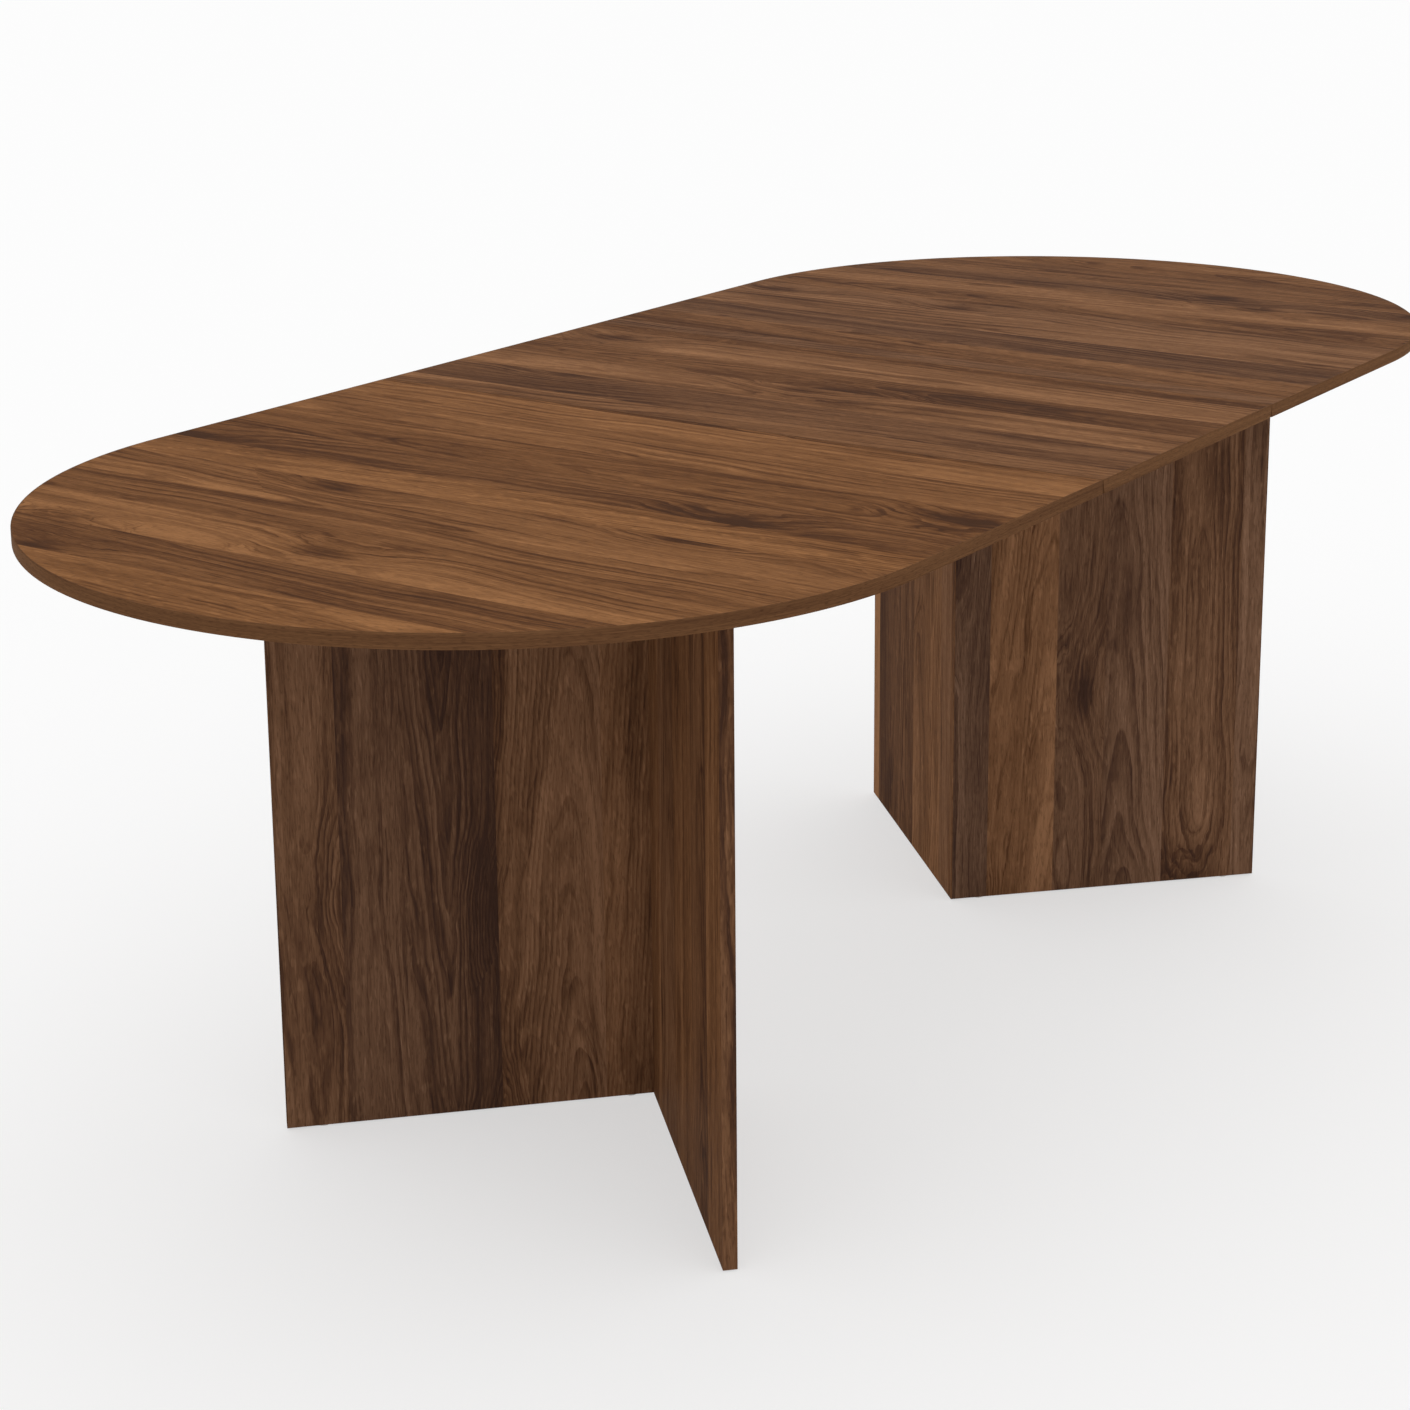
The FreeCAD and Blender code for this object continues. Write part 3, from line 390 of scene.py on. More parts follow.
@dataclass
class Stave:
    """The stave that a point lies in, the point's place there, and numbers from 0 to 1 of the stave's own.

    Places are in metres, with local from a point inside it, and own sets the stave's noise apart. The rest
    says how the trunk's pith lies and leans, how its rings stray and turn, and how its knots are scattered.
    """

    paint: Painter
    width: float
    across: Level
    local: Level
    grain: Level
    tone: Level
    shift: Level
    slant: Level
    own: Level
    pith_aside: float = 0.9
    pith_depth: float = 0.003
    depth_spread: float = 0.020
    lean: float = 0.16
    side_stray: float = 0.040
    stray: float = 0.034
    tightest: float = 0.55
    pitch_spread: float = 1.1
    year_pace: float = 3.7
    late_wood: Pair = (0.25, 0.90)
    next_spring: Pair = (1.0, 0.93)
    knot_paces: Pair = (6.0, 2.7)
    knot_apart: float = 7.0
    knot_rarity: Pair = (0.62, 0.66)
    knot_heart: float = 0.15
    knot_reach: float = 0.40

    def noise(self, kind: Stretch, over: Level, rings: Number = 0) -> Level:
        """A noise of this stave, over one direction and along the grain."""
        return kind.at(self.paint, (over, self.grain, self.own), rings)

    def rings(self) -> Level:
        """How far the point lies from the stave's pith, which leans through the board.

        Returns:
            The distance in metres.
        """
        wander = self.noise(WANDER, self.local)
        side = self.local + (self.shift - 0.5) * (self.pith_aside * self.width) + wander * self.side_stray
        depth = self.slant * self.depth_spread + self.pith_depth
        taper = self.grain * (self.slant - 0.5) * self.lean
        away = (side * side + depth * depth).maths("SQRT")
        return away + taper + wander * self.stray + self.noise(SWAY, self.local)

    def years(self, rings: Level, spacing: float) -> Level:
        """The tone of the rings one by one.

        Args:
            rings: The distance from the pith.
            spacing: The usual width of a ring.

        Returns:
            The tone of the point's own ring about 0, less what the ring's late wood takes.
        """
        count = rings / ((self.shift * self.pitch_spread + self.tightest) * spacing)
        turn = count.maths("FRACT")
        place = self.paint.vector((count - turn) * self.year_pace, self.own, 0.0)
        late = turn.rise(*self.late_wood) * turn.rise(*self.next_spring)
        return self.paint.noise(place, 1.0, 0.0) - 0.5 - late

    def knots(self) -> tuple[Level, Level]:
        """Soft knots and the way that the grain swirls round them.

        Returns:
            How dark the knot is, and how much it pushes the rings aside.
        """
        over, along = self.local * self.knot_paces[0], self.grain * self.knot_paces[1]
        spot = self.paint.vector(over + self.own, along + self.own * self.knot_apart, 0.0)
        cell = self.paint.node(
            "ShaderNodeTexVoronoi",
            {"voronoi_dimensions": "2D", "feature": "F1"},
            {"Vector": spot, "Scale": 1.0, "Randomness": 1.0},
        )
        split = self.paint.node("ShaderNodeSeparateColor", None, {"Color": cell.outputs["Color"]})
        chosen = self.paint.level(split).rise(*self.knot_rarity)
        distance = self.paint.level(cell, "Distance") + self.noise(RAGGED, self.local)
        return distance.rise(self.knot_heart, 0.0) * chosen, distance.rise(self.knot_reach, 0.0) * chosen


@dataclass(frozen=True)
class StaveWood:
    """A board face of side-by-side staves, each with its own tone, rings and streaks.

    The across and along directions are the way over the staves and the way of the grain. A strength is a
    share of the way from the darkest tone to the palest, and that of the pores is a share of their own shade.
    """

    name: str
    across: Direction
    along: Direction
    timber: Timber
    seed: float
    stave_width: float = 0.085
    stave_contrast: float = 0.52
    ring_spacing: float = 0.0085
    ring_strength: float = 0.26
    streak_strength: float = 0.85
    line_strength: float = 0.26
    pore_strength: float = 0.28
    # Lightens or darkens the whole face: its own tone, and on the leg panels partly painted light and shade
    lift: float = 0.0
    cooling: float = 0.30
    middle: float = 0.605
    slope: float = 0.55
    fibre_strength: float = 0.60
    knot_strength: float = 0.42
    swirl_strength: float = 0.10
    swirl_push: float = 0.036
    unevenness: float = 0.8
    own_steps: Pair = (31.0, 57.0)
    cool_tint: Colour = (0.80, 1.09, 2.03)
    cool_step: Pair = (0.25, 0.85)
    cool_share: float = 0.75
    cool_spread: float = 0.35
    pore_shade: float = 0.5
    roughness_spread: float = 0.14
    relief_depth: float = 0.05 * MM
    pore_depth: float = 1.2

    def make(self) -> Material:
        """Builds the material.

        Returns:
            The finished wood.
        """
        paint = Painter(self.name)
        stave = self.stave(paint)
        heart, swirl = stave.knots()
        rings = stave.rings() + swirl * self.swirl_push
        fibre = stave.noise(FIBRE, stave.across)
        pores = stave.noise(PORES, stave.across)
        figure = (
            self.middle
            + self.lift
            + (stave.tone - 0.5) * self.stave_contrast
            + stave.local * (stave.slant - 0.5) * (self.slope / self.stave_width)
            + stave.noise(BROAD, rings)
            + stave.noise(STREAK, stave.across, rings) * self.streak_strength
            + fibre * self.fibre_strength
            + stave.noise(GLINTS, stave.across, rings)
            - stave.noise(LINES, stave.across, rings) * self.line_strength
            + stave.years(rings, self.ring_spacing) * stave.noise(BOLD, stave.local) * self.ring_strength
            - heart * self.knot_strength
            - swirl * self.swirl_strength
            - stave.noise(CLOUD, stave.local)
        )
        warm = paint.ramp(figure, self.timber.stops())
        cool = paint.ramp(figure, self.timber.stops(self.cool_tint))
        coolness = (stave.shift.rise(*self.cool_step) - stave.tone) * self.cool_spread + self.cool_share
        colour = paint.blend(coolness * self.cooling, warm, cool)
        pore = tuple(self.pore_shade * part for part in self.timber.tones[0])
        paint.set(
            Base_Color=paint.blend(pores * self.pore_strength, colour, pore),
            Roughness=fibre * self.roughness_spread + self.timber.roughness,
            Specular_IOR_Level=self.timber.specular,
        )
        paint.relief(fibre - pores * self.pore_depth, self.relief_depth)
        return paint.material

    def stave(self, paint: Painter) -> Stave:
        """Finds the stave that a point lies in.

        Args:
            paint: The material's builder.

        Returns:
            The stave.
        """
        point = paint.place()
        across = paint.along(point, self.across) + self.seed
        cell = paint.node(
            "ShaderNodeTexVoronoi",
            {"voronoi_dimensions": "1D", "feature": "F1"},
            {"W": across * (1.0 / self.stave_width), "Scale": 1.0, "Randomness": self.unevenness},
        )
        split = paint.node("ShaderNodeSeparateColor", None, {"Color": cell.outputs["Color"]})
        tone, shift, slant = (paint.level(split, part) for part in range(3))
        local = across - paint.level(cell, "W") * self.stave_width
        grain = paint.along(point, self.along)
        own = tone * self.own_steps[0] + shift * self.own_steps[1]
        return Stave(paint, self.stave_width, across, local, grain, tone, shift, slant, own)


@dataclass(frozen=True)
class BandWood:
    """A thin edge band whose grain runs along the edge, read from the band's own map."""

    name: str
    timber: Timber
    tint: Colour = (0.88, 1.00, 1.27)
    pore_colour: Colour = (0.031, 0.014, 0.007)
    middle: float = 0.40
    fibre_strength: float = 0.4
    pore_strength: float = 0.35
    roughness_spread: float = 0.12
    relief_depth: float = 0.04 * MM

    def make(self) -> Material:
        """Builds the material.

        Returns:
            The finished band.
        """
        paint = Painter(self.name)
        flat = paint.node("ShaderNodeUVMap", {"uv_map": BAND_MAP}).outputs[0]
        place = paint.along(flat, (1.0, 0.0, 0.0)), paint.along(flat, (0.0, 1.0, 0.0)), 0.0
        kinds = (BAND_BROAD, BAND_STREAK, BAND_FIBRE, BAND_PORES)
        broad, streak, fibre, pores = (kind.at(paint, place) for kind in kinds)
        figure = self.middle + broad + streak + fibre * self.fibre_strength
        colour = paint.ramp(figure, self.timber.stops(self.tint))
        paint.set(
            Base_Color=paint.blend(pores * self.pore_strength, colour, self.pore_colour),
            Roughness=fibre * self.roughness_spread + self.timber.roughness,
            Specular_IOR_Level=self.timber.specular,
        )
        paint.relief(fibre - pores, self.relief_depth)
        return paint.material


@dataclass(frozen=True)
class PlainFinish:
    """Metal, paint or plastic: a colour with faint clouds, under drawn lines or an even grain.

    Paces are in changes per metre. A skin without a direction of its lines has an even grain.
    """

    name: str
    colour: Colour
    roughness: float
    lines: Direction | None = None
    skin_pace: float = 1.0 / (0.9 * MM)
    skin_roughness: float = 0.0
    relief_depth: float = 0.04 * MM
    cloud_pace: float = 35.0
    cloud_detail: float = 2.0
    cloud_step: Pair = (0.3, 0.75)
    cloud_gain: float = 1.25
    cloud_haze: float = 0.004
    cloud_roughness: float = 0.12
    metallic: float = 0.0
    specular: float = 0.4

    def make(self) -> Material:
        """Builds the material.

        Returns:
            The finished surface.
        """
        paint = Painter(self.name)
        point = paint.place()
        cloud = paint.noise(point, self.cloud_pace, self.cloud_detail)
        drawn = paint.vector(paint.along(point, self.lines), 0.0, 0.0) if self.lines else point
        skin = paint.noise(drawn, self.skin_pace) - 0.5
        clouded = tuple(min(1.0, self.cloud_gain * part + self.cloud_haze) for part in self.colour)
        paint.set(
            Base_Color=paint.blend(cloud.rise(*self.cloud_step), self.colour, clouded),
            Roughness=skin * self.skin_roughness + (cloud - 0.5) * self.cloud_roughness + self.roughness,
            Metallic=self.metallic,
            Specular_IOR_Level=self.specular,
        )
        paint.relief(skin, self.relief_depth)
        return paint.material


BAND_WALNUT = BandWood("walnut_edge_band", WALNUT)
TOP_WALNUT = StaveWood("walnut_top", LENGTHWAYS, CROSSWAYS, WALNUT, 12.37)
BOARDS = {
    "left_top_board": {"cooling": 0.10},
    "leaf_board": {"seed": 25.47, "lift": 0.04},
    "right_top_board": {"seed": 41.29, "stave_contrast": 0.32, "lift": -0.02, "cooling": 0.42},
}
LEG_WALNUT = StaveWood(
    "walnut_leg", FALLING, UPRIGHT, WALNUT, 13.51,
    stave_width=0.088, stave_contrast=0.46, ring_spacing=0.0072, ring_strength=0.28, streak_strength=0.72,
)
# The lift on each panel is partly the veneer's own tone and partly painted light and shade: the whole face is
# made lighter or darker for the light that falls on it
PANELS = {
    "left_back_leg_panel": {"lift": 0.01, "cooling": 0.95},
    "left_front_leg_panel": {"across": RISING, "seed": 4.61, "lift": -0.04, "cooling": 0.47},
    "right_front_leg_panel": {"seed": 27.51, "lift": 0.10, "cooling": 0.78},
    "right_back_leg_panel": {"across": RISING, "seed": 23.83, "lift": 0.01, "cooling": 0.58},
}
LEG_BAND_WALNUT = StaveWood(
    "walnut_leg_band", (1.0, 0.2, 0.0), UPRIGHT, WALNUT, 41.9,
    stave_width=0.4, stave_contrast=0.2, lift=-0.10, cooling=0.45,
)
FRAME_BEECH = StaveWood(
    "beech_along", (0.0, 0.7, 0.7), LENGTHWAYS, BEECH, 3.1,
    stave_width=0.4, stave_contrast=0.1, ring_spacing=0.006, ring_strength=0.16,
    streak_strength=0.42, line_strength=0.10, pore_strength=0.24,
)
BEAM_BEECH = replace(FRAME_BEECH, name="beech_across", across=(0.7, 0.0, 0.7), along=CROSSWAYS, seed=7.7)
DOWEL_BEECH = replace(
    FRAME_BEECH, name="beech_dowel", across=UPRIGHT, along=RISING, seed=1.3,
    ring_spacing=0.004, ring_strength=0.14,
)
ZINC_STEEL = PlainFinish(
    "zinc_steel", (0.62, 0.63, 0.65), 0.34, (0.0, 0.3, 1.0),
    skin_pace=2600.0, skin_roughness=0.16, relief_depth=0.02 * MM,
    cloud_pace=90.0, cloud_detail=3.0, cloud_step=(0.35, 0.70), cloud_gain=0.78, cloud_haze=0.0,
    cloud_roughness=0.14, metallic=1.0, specular=0.5,
)
CAGE_STEEL = replace(ZINC_STEEL, name="cage_steel", colour=(0.46, 0.46, 0.45), roughness=0.42)
BALL_STEEL = replace(
    ZINC_STEEL, name="ball_steel", colour=(0.78, 0.78, 0.80), roughness=0.12, lines=(0.3, 0.3, 0.3)
)
SCREW_STEEL = replace(
    ZINC_STEEL, name="screw_steel", colour=(0.60, 0.59, 0.55), roughness=0.30, lines=(0.5, 0.5, 0.5)
)
BRACKET_PAINT = PlainFinish("bracket_paint", (0.030, 0.030, 0.031), 0.50)
LEVER_PAINT = PlainFinish("lever_paint", (0.024, 0.024, 0.026), 0.36)
BLACK_NYLON = PlainFinish("black_nylon", (0.022, 0.022, 0.022), 0.46)
WHITE_NYLON = PlainFinish("white_nylon", (0.74, 0.74, 0.71), 0.42)


def dress(material: Material, nodes: Sequence[str]) -> None:
    """Gives CAD nodes a material.

    Args:
        material: The finish.
        nodes: The nodes that wear it.
    """
    for name in nodes:
        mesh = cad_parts[name].data
        mesh.materials.clear()
        mesh.materials.append(material)
        LOG.info("%s wears %s", name, material.name)


def dress_boards(wood: StaveWood, boards: dict[str, dict]) -> None:
    """Gives every board staves of its own.

    Args:
        wood: What the boards have in common.
        boards: What each of them has of its own, by its node.
    """
    for name, own in boards.items():
        dress(replace(wood, name=f"walnut_{name}", **own).make(), [name])


def points_of(node: str) -> np.ndarray:
    """The corners of a CAD node's mesh, in metres."""
    return np.array([corner.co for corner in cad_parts[node].data.vertices])


def islands_of(node: str) -> list[np.ndarray]:
    """Finds the separate solids of a CAD node, by handing the lowest number on from corner to corner.

    Args:
        node: The node's name.

    Returns:
        The corners of each solid, each of them once.
    """
    corners, places = np.unique(np.round(points_of(node), WELD_DIGITS), axis=0, return_inverse=True)
    edges = places.ravel()[np.array([edge.vertices[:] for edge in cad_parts[node].data.edges])]
    labels = np.arange(len(corners))
    before = None
    while not np.array_equal(labels, before):
        before = labels.copy()
        np.minimum.at(labels, edges, labels[edges].min(axis=1, keepdims=True))
    return [corners[labels == label] for label in np.unique(labels)]


def soften(mesh: Mesh) -> None:
    """Shades a mesh smooth between its sharp edges."""
    mesh.polygons.foreach_set("use_smooth", [True] * len(mesh.polygons))
    mesh.set_sharp_from_angle(angle=SHARP_ANGLE)


def new_piece(name: str, body: str, mesh: Mesh, replaced: Sequence[str]) -> None:
    """Shows a mesh in place of CAD nodes.

    Args:
        name: The piece's name.
        body: The CAD body that it moves with.
        mesh: Its mesh, in the table's frame.
        replaced: The nodes that it stands for.
    """
    piece = bpy.data.objects.new(name, mesh)
    bpy.context.scene.collection.objects.link(piece)
    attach(piece, body)
    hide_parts(*replaced)
    LOG.info("%s: %d faces", name, len(mesh.polygons))


@dataclass
class Strip:
    """A thin band swept along an edge: outward faces with soft arrises and closed ends."""

    thickness: float
    low: float
    high: float
    arris: float = 0.5 * MM
    end_ease: float = 0.4 * MM
    arris_steps: int = 4

    def section(self) -> list[Pair]:
        """Draws the band's outline, from the inner foot upwards.

        Returns:
            The depth from the outer face and the height of each point.
        """
        turns = np.linspace(0.0, math.pi / 2, self.arris_steps + 1)
        corner = [(1 - math.sin(turn), 1 - math.cos(turn)) for turn in turns]
        lower = [(self.arris * d, self.low + self.arris * h) for d, h in corner]
        upper = [(self.arris * d, self.high - self.arris * h) for d, h in reversed(corner)]
        return [(self.thickness, self.low), *lower, *upper, (self.thickness, self.high)]

    def sweep(self, line: np.ndarray, outward: np.ndarray | Sequence[float], lean: float = 0.0) -> Swept:
        """Carries the section along a line.

        Args:
            line: The points of the outer edge in plan.
            outward: The outward direction at each point, or at all of them.
            lean: How far each end draws in from the top of the band to its foot.

        Returns:
            Corners, faces and the map coordinates of each corner.
        """
        section = self.section()
        ways = np.gradient(line, axis=0)
        ways /= np.linalg.norm(ways, axis=1)[:, None]
        ease = self.end_ease
        start, end = line[:1], line[-1:]
        line = np.vstack([start, start + ways[:1] * ease, line[1:-1], end - ways[-1:] * ease, end])
        outward = np.broadcast_to(outward, ways.shape)
        outward = np.vstack([outward[:1], outward, outward[-1:]])
        ways = np.vstack([ways[:1], ways, ways[-1:]])
        steps = np.linalg.norm(np.diff(line, axis=0), axis=1)
        run = np.concatenate([[0.0], np.cumsum(steps)])
        corners, maps, faces = [], [], []
        last = len(line) - 1
        for index, (spot, out, way) in enumerate(zip(line, outward, ways)):
            pull = ease if index in (0, last) else 0.0
            for depth, height in section:
                inset = max(depth, pull)
                share = (self.high - height) / (self.high - self.low)
                slide = lean * share * ((index < last / 2) - (index > last / 2))
                place = spot - out * inset + way * slide
                corners.append((place[0], place[1], height))
                maps.append((run[index] + depth, height + depth))
        count = len(section)
        for index in range(last):
            here, there = index * count, (index + 1) * count
            for item in range(count):
                after = (item + 1) % count
                faces.append((here + item, there + item, there + after, here + after))
        faces.append(tuple(reversed(range(count))))
        faces.append(tuple(last * count + item for item in range(count)))
        return corners, faces, maps


def band_mesh(name: str, strips: Sequence[Swept], material: Material) -> Mesh:
    """Joins swept strips in one mesh with outward faces, soft curves and a map along the grain.

    Args:
        name: The mesh's name.
        strips: Corners, faces and map coordinates of each strip.
        material: The bands' finish.

    Returns:
        The mesh.
    """
    corners, faces, maps = [], [], []
    for spots, loops, flats in strips:
        start = len(corners)
        corners += spots
        maps += flats
        faces += [tuple(start + item for item in loop) for loop in loops]
    mesh = bpy.data.meshes.new(name)
    mesh.from_pydata(corners, [], faces)
    layer = mesh.uv_layers.new(name=BAND_MAP)
    for loop in mesh.loops:
        layer.data[loop.index].uv = maps[loop.vertex_index]
    work = bmesh.new()
    work.from_mesh(mesh)
    bmesh.ops.recalc_face_normals(work, faces=work.faces)
    work.to_mesh(mesh)
    work.free()
    soften(mesh)
    mesh.materials.append(material)
    return mesh


@dataclass
class TableTop:
    """The two half boards and the leaf, with their edge bands."""

    band: float = 1.0 * MM
    arc_steps: int = 96
    straight_steps: int = 24
    seam_points: int = 3
    seam_arris: float = 0.05 * MM
    seam_ease: float = 0.02 * MM
    foot_slack: float = 0.1 * MM

    def build(self) -> None:
        """Dresses the boards and builds their bands."""
        dress_boards(TOP_WALNUT, BOARDS)
        material = BAND_WALNUT.make()
        for side in Side:
            self.half_bands(side, material)
        self.leaf_bands(material)

    def seam_strip(self, low: float, high: float) -> Strip:
        """The nearly square band along a seam."""
        return Strip(self.band, low, high, arris=self.seam_arris, end_ease=self.seam_ease)

    def half_bands(self, side: Side, material: Material) -> None:
        """Builds the band round one half's outline and the one along its seam.

        Args:
            side: The half.
            material: The bands' finish.
        """
        node = f"{side.label}_top_edge_bands"
        low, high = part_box(node)
        radius = high.y
        seam, tip = sorted((abs(low.x), abs(high.x)))
        centre = tip - radius
        turns = np.linspace(-math.pi / 2, math.pi / 2, self.arc_steps + 1)
        arc_out = np.stack([np.cos(turns), np.sin(turns)], axis=1)
        arc = arc_out * radius + (centre, 0.0)
        near = np.linspace((seam, -radius), (centre, -radius), self.straight_steps, endpoint=False)
        line = np.vstack([near, arc, near[::-1] * (1, -1)])
        down = np.broadcast_to((0.0, -1.0), near.shape)
        outward = np.vstack([down, arc_out, -down])
        inner = radius - self.band
        across = np.linspace((seam, inner), (seam, -inner), self.seam_points)
        sign = side.value
        strips = [
            Strip(self.band, low.z, high.z).sweep(line * sign, outward * sign),
            self.seam_strip(low.z, high.z).sweep(across * sign, (-sign, 0)),
        ]
        name = f"{side.label}_top_bands"
        mesh = band_mesh(name, strips, material)
        new_piece(name, f"{side.label}_top", mesh, [node])

    def leaf_bands(self, material: Material) -> None:
        """Builds the bands on the leaf's two ends and its two leaning long edges.

        Args:
            material: The bands' finish.
        """
        node = "leaf_edge_bands"
        low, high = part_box(node)
        spots = points_of("leaf_board")
        foot = spots[spots[:, 2] < low.z + self.foot_slack]
        lean = spots[:, 0].max() - foot[:, 0].max()
        strip = Strip(self.band, low.z, high.z)
        strips = []
        for row in (-1, 1):
            ends = [(x * -row, high.y * row) for x in (low.x, high.x)]
            strips.append(strip.sweep(np.linspace(*ends, self.straight_steps), (0, row), lean))
        inner = high.y - self.band
        across = np.linspace((high.x, -inner), (high.x, inner), self.seam_points)
        edge = self.seam_strip(low.z, high.z)
        fall = lean / (high.z - low.z)
        for side in Side:
            sign = side.value
            corners, faces, maps = edge.sweep(across * sign, (sign, 0))
            corners = [(x - sign * fall * (high.z - z), y, z) for x, y, z in corners]
            strips.append((corners, faces, maps))
        mesh = band_mesh("leaf_bands", strips, material)
        new_piece("leaf_bands", "leaf", mesh, [node])


@dataclass
class Pedestals:
    """The four leg panels with upright grain, their end bands, feet and corner fittings."""

    def build(self) -> None:
        """Dresses the panels and what holds them."""
        dress_boards(LEG_WALNUT, PANELS)
        dress(LEG_BAND_WALNUT.make(), [f"{side.label}_leg_edge_bands" for side in Side])
        dress(WHITE_NYLON.make(), ["foot_glides", "leg_top_pads", "leaf_rest_pads"])
        dress(BRACKET_PAINT.make(), ["rail_brackets", "corner_angles"])
        dress(DOWEL_BEECH.make(), ["corner_dowels"])


@dataclass(frozen=True)
class ScrewSpot:
    """One screw: its seat, the way it drives in, how deep it reaches and how its head sits."""

    seat: Place
    way: Direction
    length: float
    drive: Drive


@dataclass
class ScrewMaker:
    """Builds screws by Geometry Nodes at the places where the CAD nodes have them.

    The tip is in shares of the shank's radius. The rim and crown of a pan head and the blades that cut the
    cross are in shares of the head's sizes.
    """

    shank_radius: float = 1.75 * MM
    head_radius: float = 3.2 * MM
    head_height: float = 1.8 * MM
    sink: float = 1.2 * MM
    facets: int = 20
    tip_length: float = 2.0
    tip_width: float = 0.25
    rim_height: float = 0.55
    crown_width: float = 0.70
    blade: Pair = (1.15, 0.26)
    blade_depth: float = 1.1
    end_slack: float = 0.01 * MM
    rim_share: float = 0.95

    def spots(self, node: str) -> list[ScrewSpot]:
        """Reads the screws of a CAD node.

        Args:
            node: The node's name.

        Returns:
            One entry for each of its solids.
        """
        found = []
        for points in islands_of(node):
            middle = points.mean(axis=0)
            way = np.linalg.svd(points - middle, full_matrices=False)[2][0]
            reach = (points - middle) @ way
            wide = np.linalg.norm(points - middle - np.outer(reach, way), axis=1)
            widest = reach[wide.argmax()]
            if abs(widest - reach.max()) < abs(widest - reach.min()):
                reach = -reach
            limits = reach.min(), reach.max()
            head, tip = (points[np.abs(reach - end) < self.end_slack].mean(axis=0) for end in limits)
            way = (tip - head) / np.linalg.norm(tip - head)
            rim = reach[wide > self.rim_share * self.head_radius]
            drive = Drive.PAN if np.ptp(rim) > self.end_slack else Drive.SUNK
            seat = head + way * (self.head_height if drive is Drive.PAN else 0.0)
            length = round(float(np.linalg.norm(tip - seat)), LENGTH_DIGITS)
            found.append(ScrewSpot(tuple(seat), tuple(way), length, drive))
        return found

    def tree(self) -> NodeTree:
        """Lays out the node tree: one screw with a cross recess, set on every point along the point's axis.

        Returns:
            The tree, with named inputs for its sizes.
        """
        tree = bpy.data.node_groups.new("screws", "GeometryNodeTree")
        sizes = ("Shank Radius", "Head Radius", "Head Height", "Length", "Sink")
        kinds = {"Geometry": "Geometry", "Sunk": "Bool", "Material": "Material"}
        for name in (*kinds, *sizes):
            kind = kinds.get(name, "Float")
            tree.interface.new_socket(name, in_out="INPUT", socket_type=f"NodeSocket{kind}")
        tree.interface.new_socket("Geometry", in_out="OUTPUT", socket_type="NodeSocketGeometry")
        graph = Graph(tree)
        start = graph.node("NodeGroupInput")
        shank, head, height, length, sink = (graph.level(start, name) for name in sizes)
        tip = shank * self.tip_length
        stem = self.cone(graph, shank, shank, 0.0, length - tip)
        point = self.cone(graph, shank, shank * self.tip_width, length - tip, tip)
        rim, crown = height * self.rim_height, height * (1.0 - self.rim_height)
        pan = [
            self.cone(graph, head, head, rim * -1.0, rim),
            self.cone(graph, head * self.crown_width, head, height * -1.0, crown),
        ]
        dish = self.cone(graph, head, shank, 0.0, sink)
        sunk = start.outputs["Sunk"]
        heads = {"Switch": sunk, "False": self.cut(graph, pan), "True": dish}
        top = graph.node("GeometryNodeSwitch", {"input_type": "GEOMETRY"}, heads).outputs[0]
        drops = {"Switch": sunk, "False": height * -1.0}
        drop = graph.level(graph.node("GeometryNodeSwitch", {"input_type": "FLOAT"}, drops))
        blades = []
        for wide, broad in (self.blade, self.blade[::-1]):
            size = graph.vector(head * wide, head * broad, height * self.blade_depth)
            cube = graph.node("GeometryNodeMeshCube", None, {"Size": size}).outputs["Mesh"]
            moved = {"Geometry": cube, "Translation": graph.vector(0.0, 0.0, drop)}
            blades.append(graph.node("GeometryNodeTransform", None, moved).outputs[0])
        screw = self.cut(graph, blades, self.cut(graph, [stem, point, top]))
        axis = graph.node("GeometryNodeInputNamedAttribute", {"data_type": "FLOAT_VECTOR"}, {"Name": "axis"})
        turned = graph.node("FunctionNodeAlignRotationToVector", {"axis": "Z"}, {"Vector": axis.outputs[0]})
        spread = {"Points": start.outputs["Geometry"], "Instance": screw, "Rotation": turned.outputs[0]}
        placed = graph.node("GeometryNodeInstanceOnPoints", None, spread)
        real = graph.node("GeometryNodeRealizeInstances", None, {"Geometry": placed.outputs[0]})
        dressed = {"Geometry": real.outputs[0], "Material": start.outputs["Material"]}
        last = graph.node("GeometryNodeSetMaterial", None, dressed)
        graph.node("NodeGroupOutput", None, {"Geometry": last.outputs[0]})
        return tree

    def cone(self, graph: Graph, low: Level, high: Level, start: Number, depth: Level) -> NodeSocket:
        """Turns a length of the screw.

        Args:
            graph: The tree's builder.
            low: Its radius where it starts.
            high: Its radius where it ends.
            start: How far along the screw it starts.
            depth: Its length.

        Returns:
            Its mesh.
        """
        sizes = {"Vertices": self.facets, "Radius Bottom": low, "Radius Top": high, "Depth": depth}
        cone = graph.node("GeometryNodeMeshCone", None, sizes).outputs["Mesh"]
        moved = {"Geometry": cone, "Translation": graph.vector(0.0, 0.0, start)}
        return graph.node("GeometryNodeTransform", None, moved).outputs[0]

    @staticmethod
    def cut(graph: Graph, parts: list[NodeSocket], whole: NodeSocket | None = None) -> NodeSocket:
        """Makes one closed mesh from several.

        Args:
            graph: The tree's builder.
            parts: The meshes that are joined, or cut from the whole.
            whole: The mesh that is cut, if there is one.

        Returns:
            The mesh that is left.
        """
        settings = {"operation": "UNION" if whole is None else "DIFFERENCE", "solver": "EXACT"}
        inputs = {"Mesh 2": parts} if whole is None else {"Mesh 1": whole, "Mesh 2": parts}
        return graph.node("GeometryNodeMeshBoolean", settings, inputs).outputs[0]

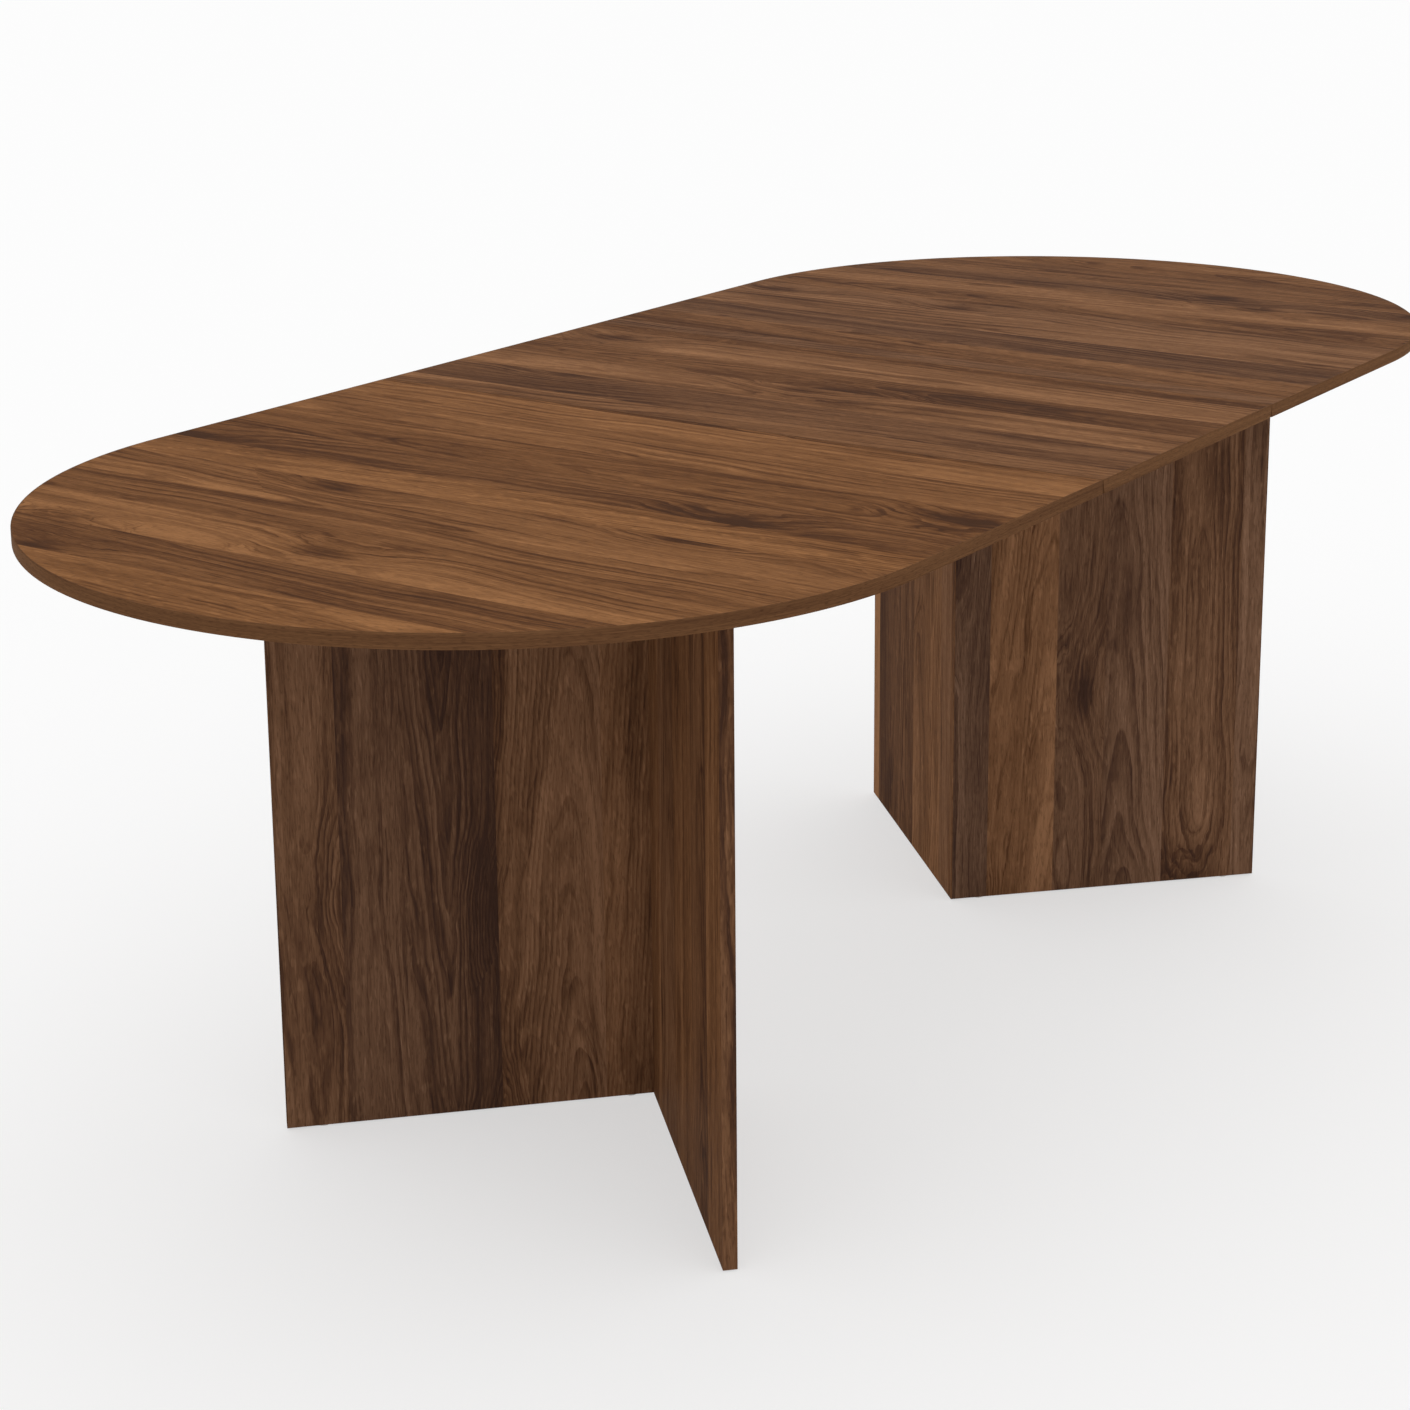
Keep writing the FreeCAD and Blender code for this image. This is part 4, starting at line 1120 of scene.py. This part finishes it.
    def build(self, tree: NodeTree, node: str, body: str, material: Material) -> None:
        """Replaces a CAD node's screws.

        Args:
            tree: The screws' node tree.
            node: The node's name.
            body: The body that the screws move with.
            material: Their finish.
        """
        kinds: dict[tuple[float, Drive], list[ScrewSpot]] = {}
        for spot in self.spots(node):
            kinds.setdefault((spot.length, spot.drive), []).append(spot)
        work = bmesh.new()
        for spots in kinds.values():
            work.from_mesh(self.evaluated(tree, spots, material))
        mesh = bpy.data.meshes.new(f"{node}_crossed")
        work.to_mesh(mesh)
        work.free()
        mesh.materials.append(material)
        soften(mesh)
        new_piece(f"{node}_crossed", body, mesh, [node])

    def evaluated(self, tree: NodeTree, spots: Sequence[ScrewSpot], material: Material) -> Mesh:
        """Runs the tree for like screws.

        Args:
            tree: The screws' node tree.
            spots: Screws of one length whose heads sit in one way.
            material: Their finish.

        Returns:
            Their mesh.
        """
        points = bpy.data.meshes.new("screw_points")
        points.from_pydata([spot.seat for spot in spots], [], [])
        axis = points.attributes.new("axis", "FLOAT_VECTOR", "POINT")
        axis.data.foreach_set("vector", [part for spot in spots for part in spot.way])
        carrier = bpy.data.objects.new("screw_points", points)
        bpy.context.scene.collection.objects.link(carrier)
        modifier = carrier.modifiers.new("screws", "NODES")
        modifier.node_group = tree
        values = {
            "Shank Radius": self.shank_radius,
            "Head Radius": self.head_radius,
            "Head Height": self.head_height,
            "Length": spots[0].length,
            "Sink": self.sink,
            "Sunk": spots[0].drive is Drive.SUNK,
            "Material": material,
        }
        for item in tree.interface.items_tree:
            if item.in_out == "INPUT" and item.name in values:
                modifier[item.identifier] = values[item.name]
        depsgraph = bpy.context.evaluated_depsgraph_get()
        mesh = bpy.data.meshes.new_from_object(carrier.evaluated_get(depsgraph), depsgraph=depsgraph)
        carrier.modifiers.remove(modifier)
        bpy.data.objects.remove(carrier)
        return mesh


SCREW_NODES = {
    **{f"{kind}_screws": "base" for kind in ("beam", "bracket", "channel")},
    **{
        f"{side.label}_{kind}_screws": f"{side.label}_top"
        for kind in ("runner", "batten", "fitting")
        for side in Side
    },
    "leaf_screws": "leaf",
}


@dataclass
class SlidingFrame:
    """The rails, beams, battens, ball slides, rack and pinion, leaf locks and screws under the top."""

    def build(self) -> None:
        """Dresses every piece of the hidden frame."""
        sides = [side.label for side in Side]
        rails = ["front_rail", "back_rail", "leaf_steady_blocks"]
        dress(FRAME_BEECH.make(), rails + [f"{s}_{n}" for s in sides for n in ("battens", "rack_block")])
        dress(BEAM_BEECH.make(), ["left_beam", "centre_beam", "right_beam"])
        zinc = ["slide_channels", "slide_runners", "lock_plates", "lock_pivots"]
        dress(ZINC_STEEL.make(), [f"{s}_{n}" for s in sides for n in zinc] + ["leaf_keepers", "pinion_axle"])
        dress(CAGE_STEEL.make(), [f"{s}_ball_cages" for s in sides])
        dress(BALL_STEEL.make(), [f"{s}_slide_balls" for s in sides])
        dress(BLACK_NYLON.make(), ["sync_pinion", "pinion_spacer"] + [f"{s}_rack" for s in sides])
        dress(LEVER_PAINT.make(), [f"{s}_{row}_lock_lever" for s in sides for row in ("front", "back")])
        maker = ScrewMaker()
        tree, steel = maker.tree(), SCREW_STEEL.make()
        for node, body in SCREW_NODES.items():
            maker.build(tree, node, body, steel)


@dataclass
class Studio:
    """The pale floor, the even white surroundings and the camera.

    Lengths are in metres, angles in radians, and the lens and the sensor in millimetres.
    """

    floor_half: float = 40.0
    floor_colour: Colour = (0.93, 0.93, 0.93)
    floor_roughness: float = 0.9
    floor_bleach: float = 0.55
    sky: float = 1.02
    camera_spot: Place = (-2.7741, -1.7383, 1.4442)
    camera_heading: float = 0.5654
    camera_pitch: float = 0.2423
    lens: float = 73.0
    sensor: float = 36.0
    shift: Pair = (-0.07, -0.155)

    def build(self) -> None:
        """Makes the floor, the light and the camera."""
        self.floor()
        self.surroundings()
        self.camera()
        bpy.context.scene.view_settings.view_transform = "Standard"

    def floor(self) -> None:
        """Lays a plain level floor."""
        half = self.floor_half
        corners = [(-half, -half, 0.0), (half, -half, 0.0), (half, half, 0.0), (-half, half, 0.0)]
        mesh = bpy.data.meshes.new("floor")
        mesh.from_pydata(corners, [], [range(len(corners))])
        paint = Painter("floor_paint")
        paint.set(Base_Color=self.floor_colour, Roughness=self.floor_roughness, Specular_IOR_Level=0.0)
        paint.bleach(self.floor_bleach)
        mesh.materials.append(paint.material)
        floor = bpy.data.objects.new("floor", mesh)
        bpy.context.scene.collection.objects.link(floor)

    def surroundings(self) -> None:
        """White all round: full white where it is seen, and a plain level of light elsewhere."""
        world = bpy.data.worlds.new("studio_white")
        bpy.context.scene.world = world
        world.use_nodes = True
        graph = Graph(world.node_tree)
        background = world.node_tree.nodes["Background"]
        graph.feed(background.inputs["Color"], WHITE)
        graph.feed(background.inputs["Strength"], self.sky + graph.seen() * (1.0 - self.sky))

    def camera(self) -> None:
        """Sets up the photograph's viewpoint."""
        data = bpy.data.cameras.new("photo_camera")
        data.lens = self.lens
        data.sensor_width = self.sensor
        data.shift_x, data.shift_y = self.shift
        camera = bpy.data.objects.new("photo_camera", data)
        bpy.context.scene.collection.objects.link(camera)
        camera.location = self.camera_spot
        camera.rotation_euler = (math.pi / 2 - self.camera_pitch, 0.0, self.camera_heading - math.pi / 2)
        bpy.context.scene.camera = camera


def main() -> None:
    """Builds the table's looks and its surroundings."""
    logging.basicConfig(level=logging.INFO, format="%(name)s: %(message)s")
    TableTop().build()
    Pedestals().build()
    SlidingFrame().build()
    Studio().build()


if __name__ == "__main__":
    main()
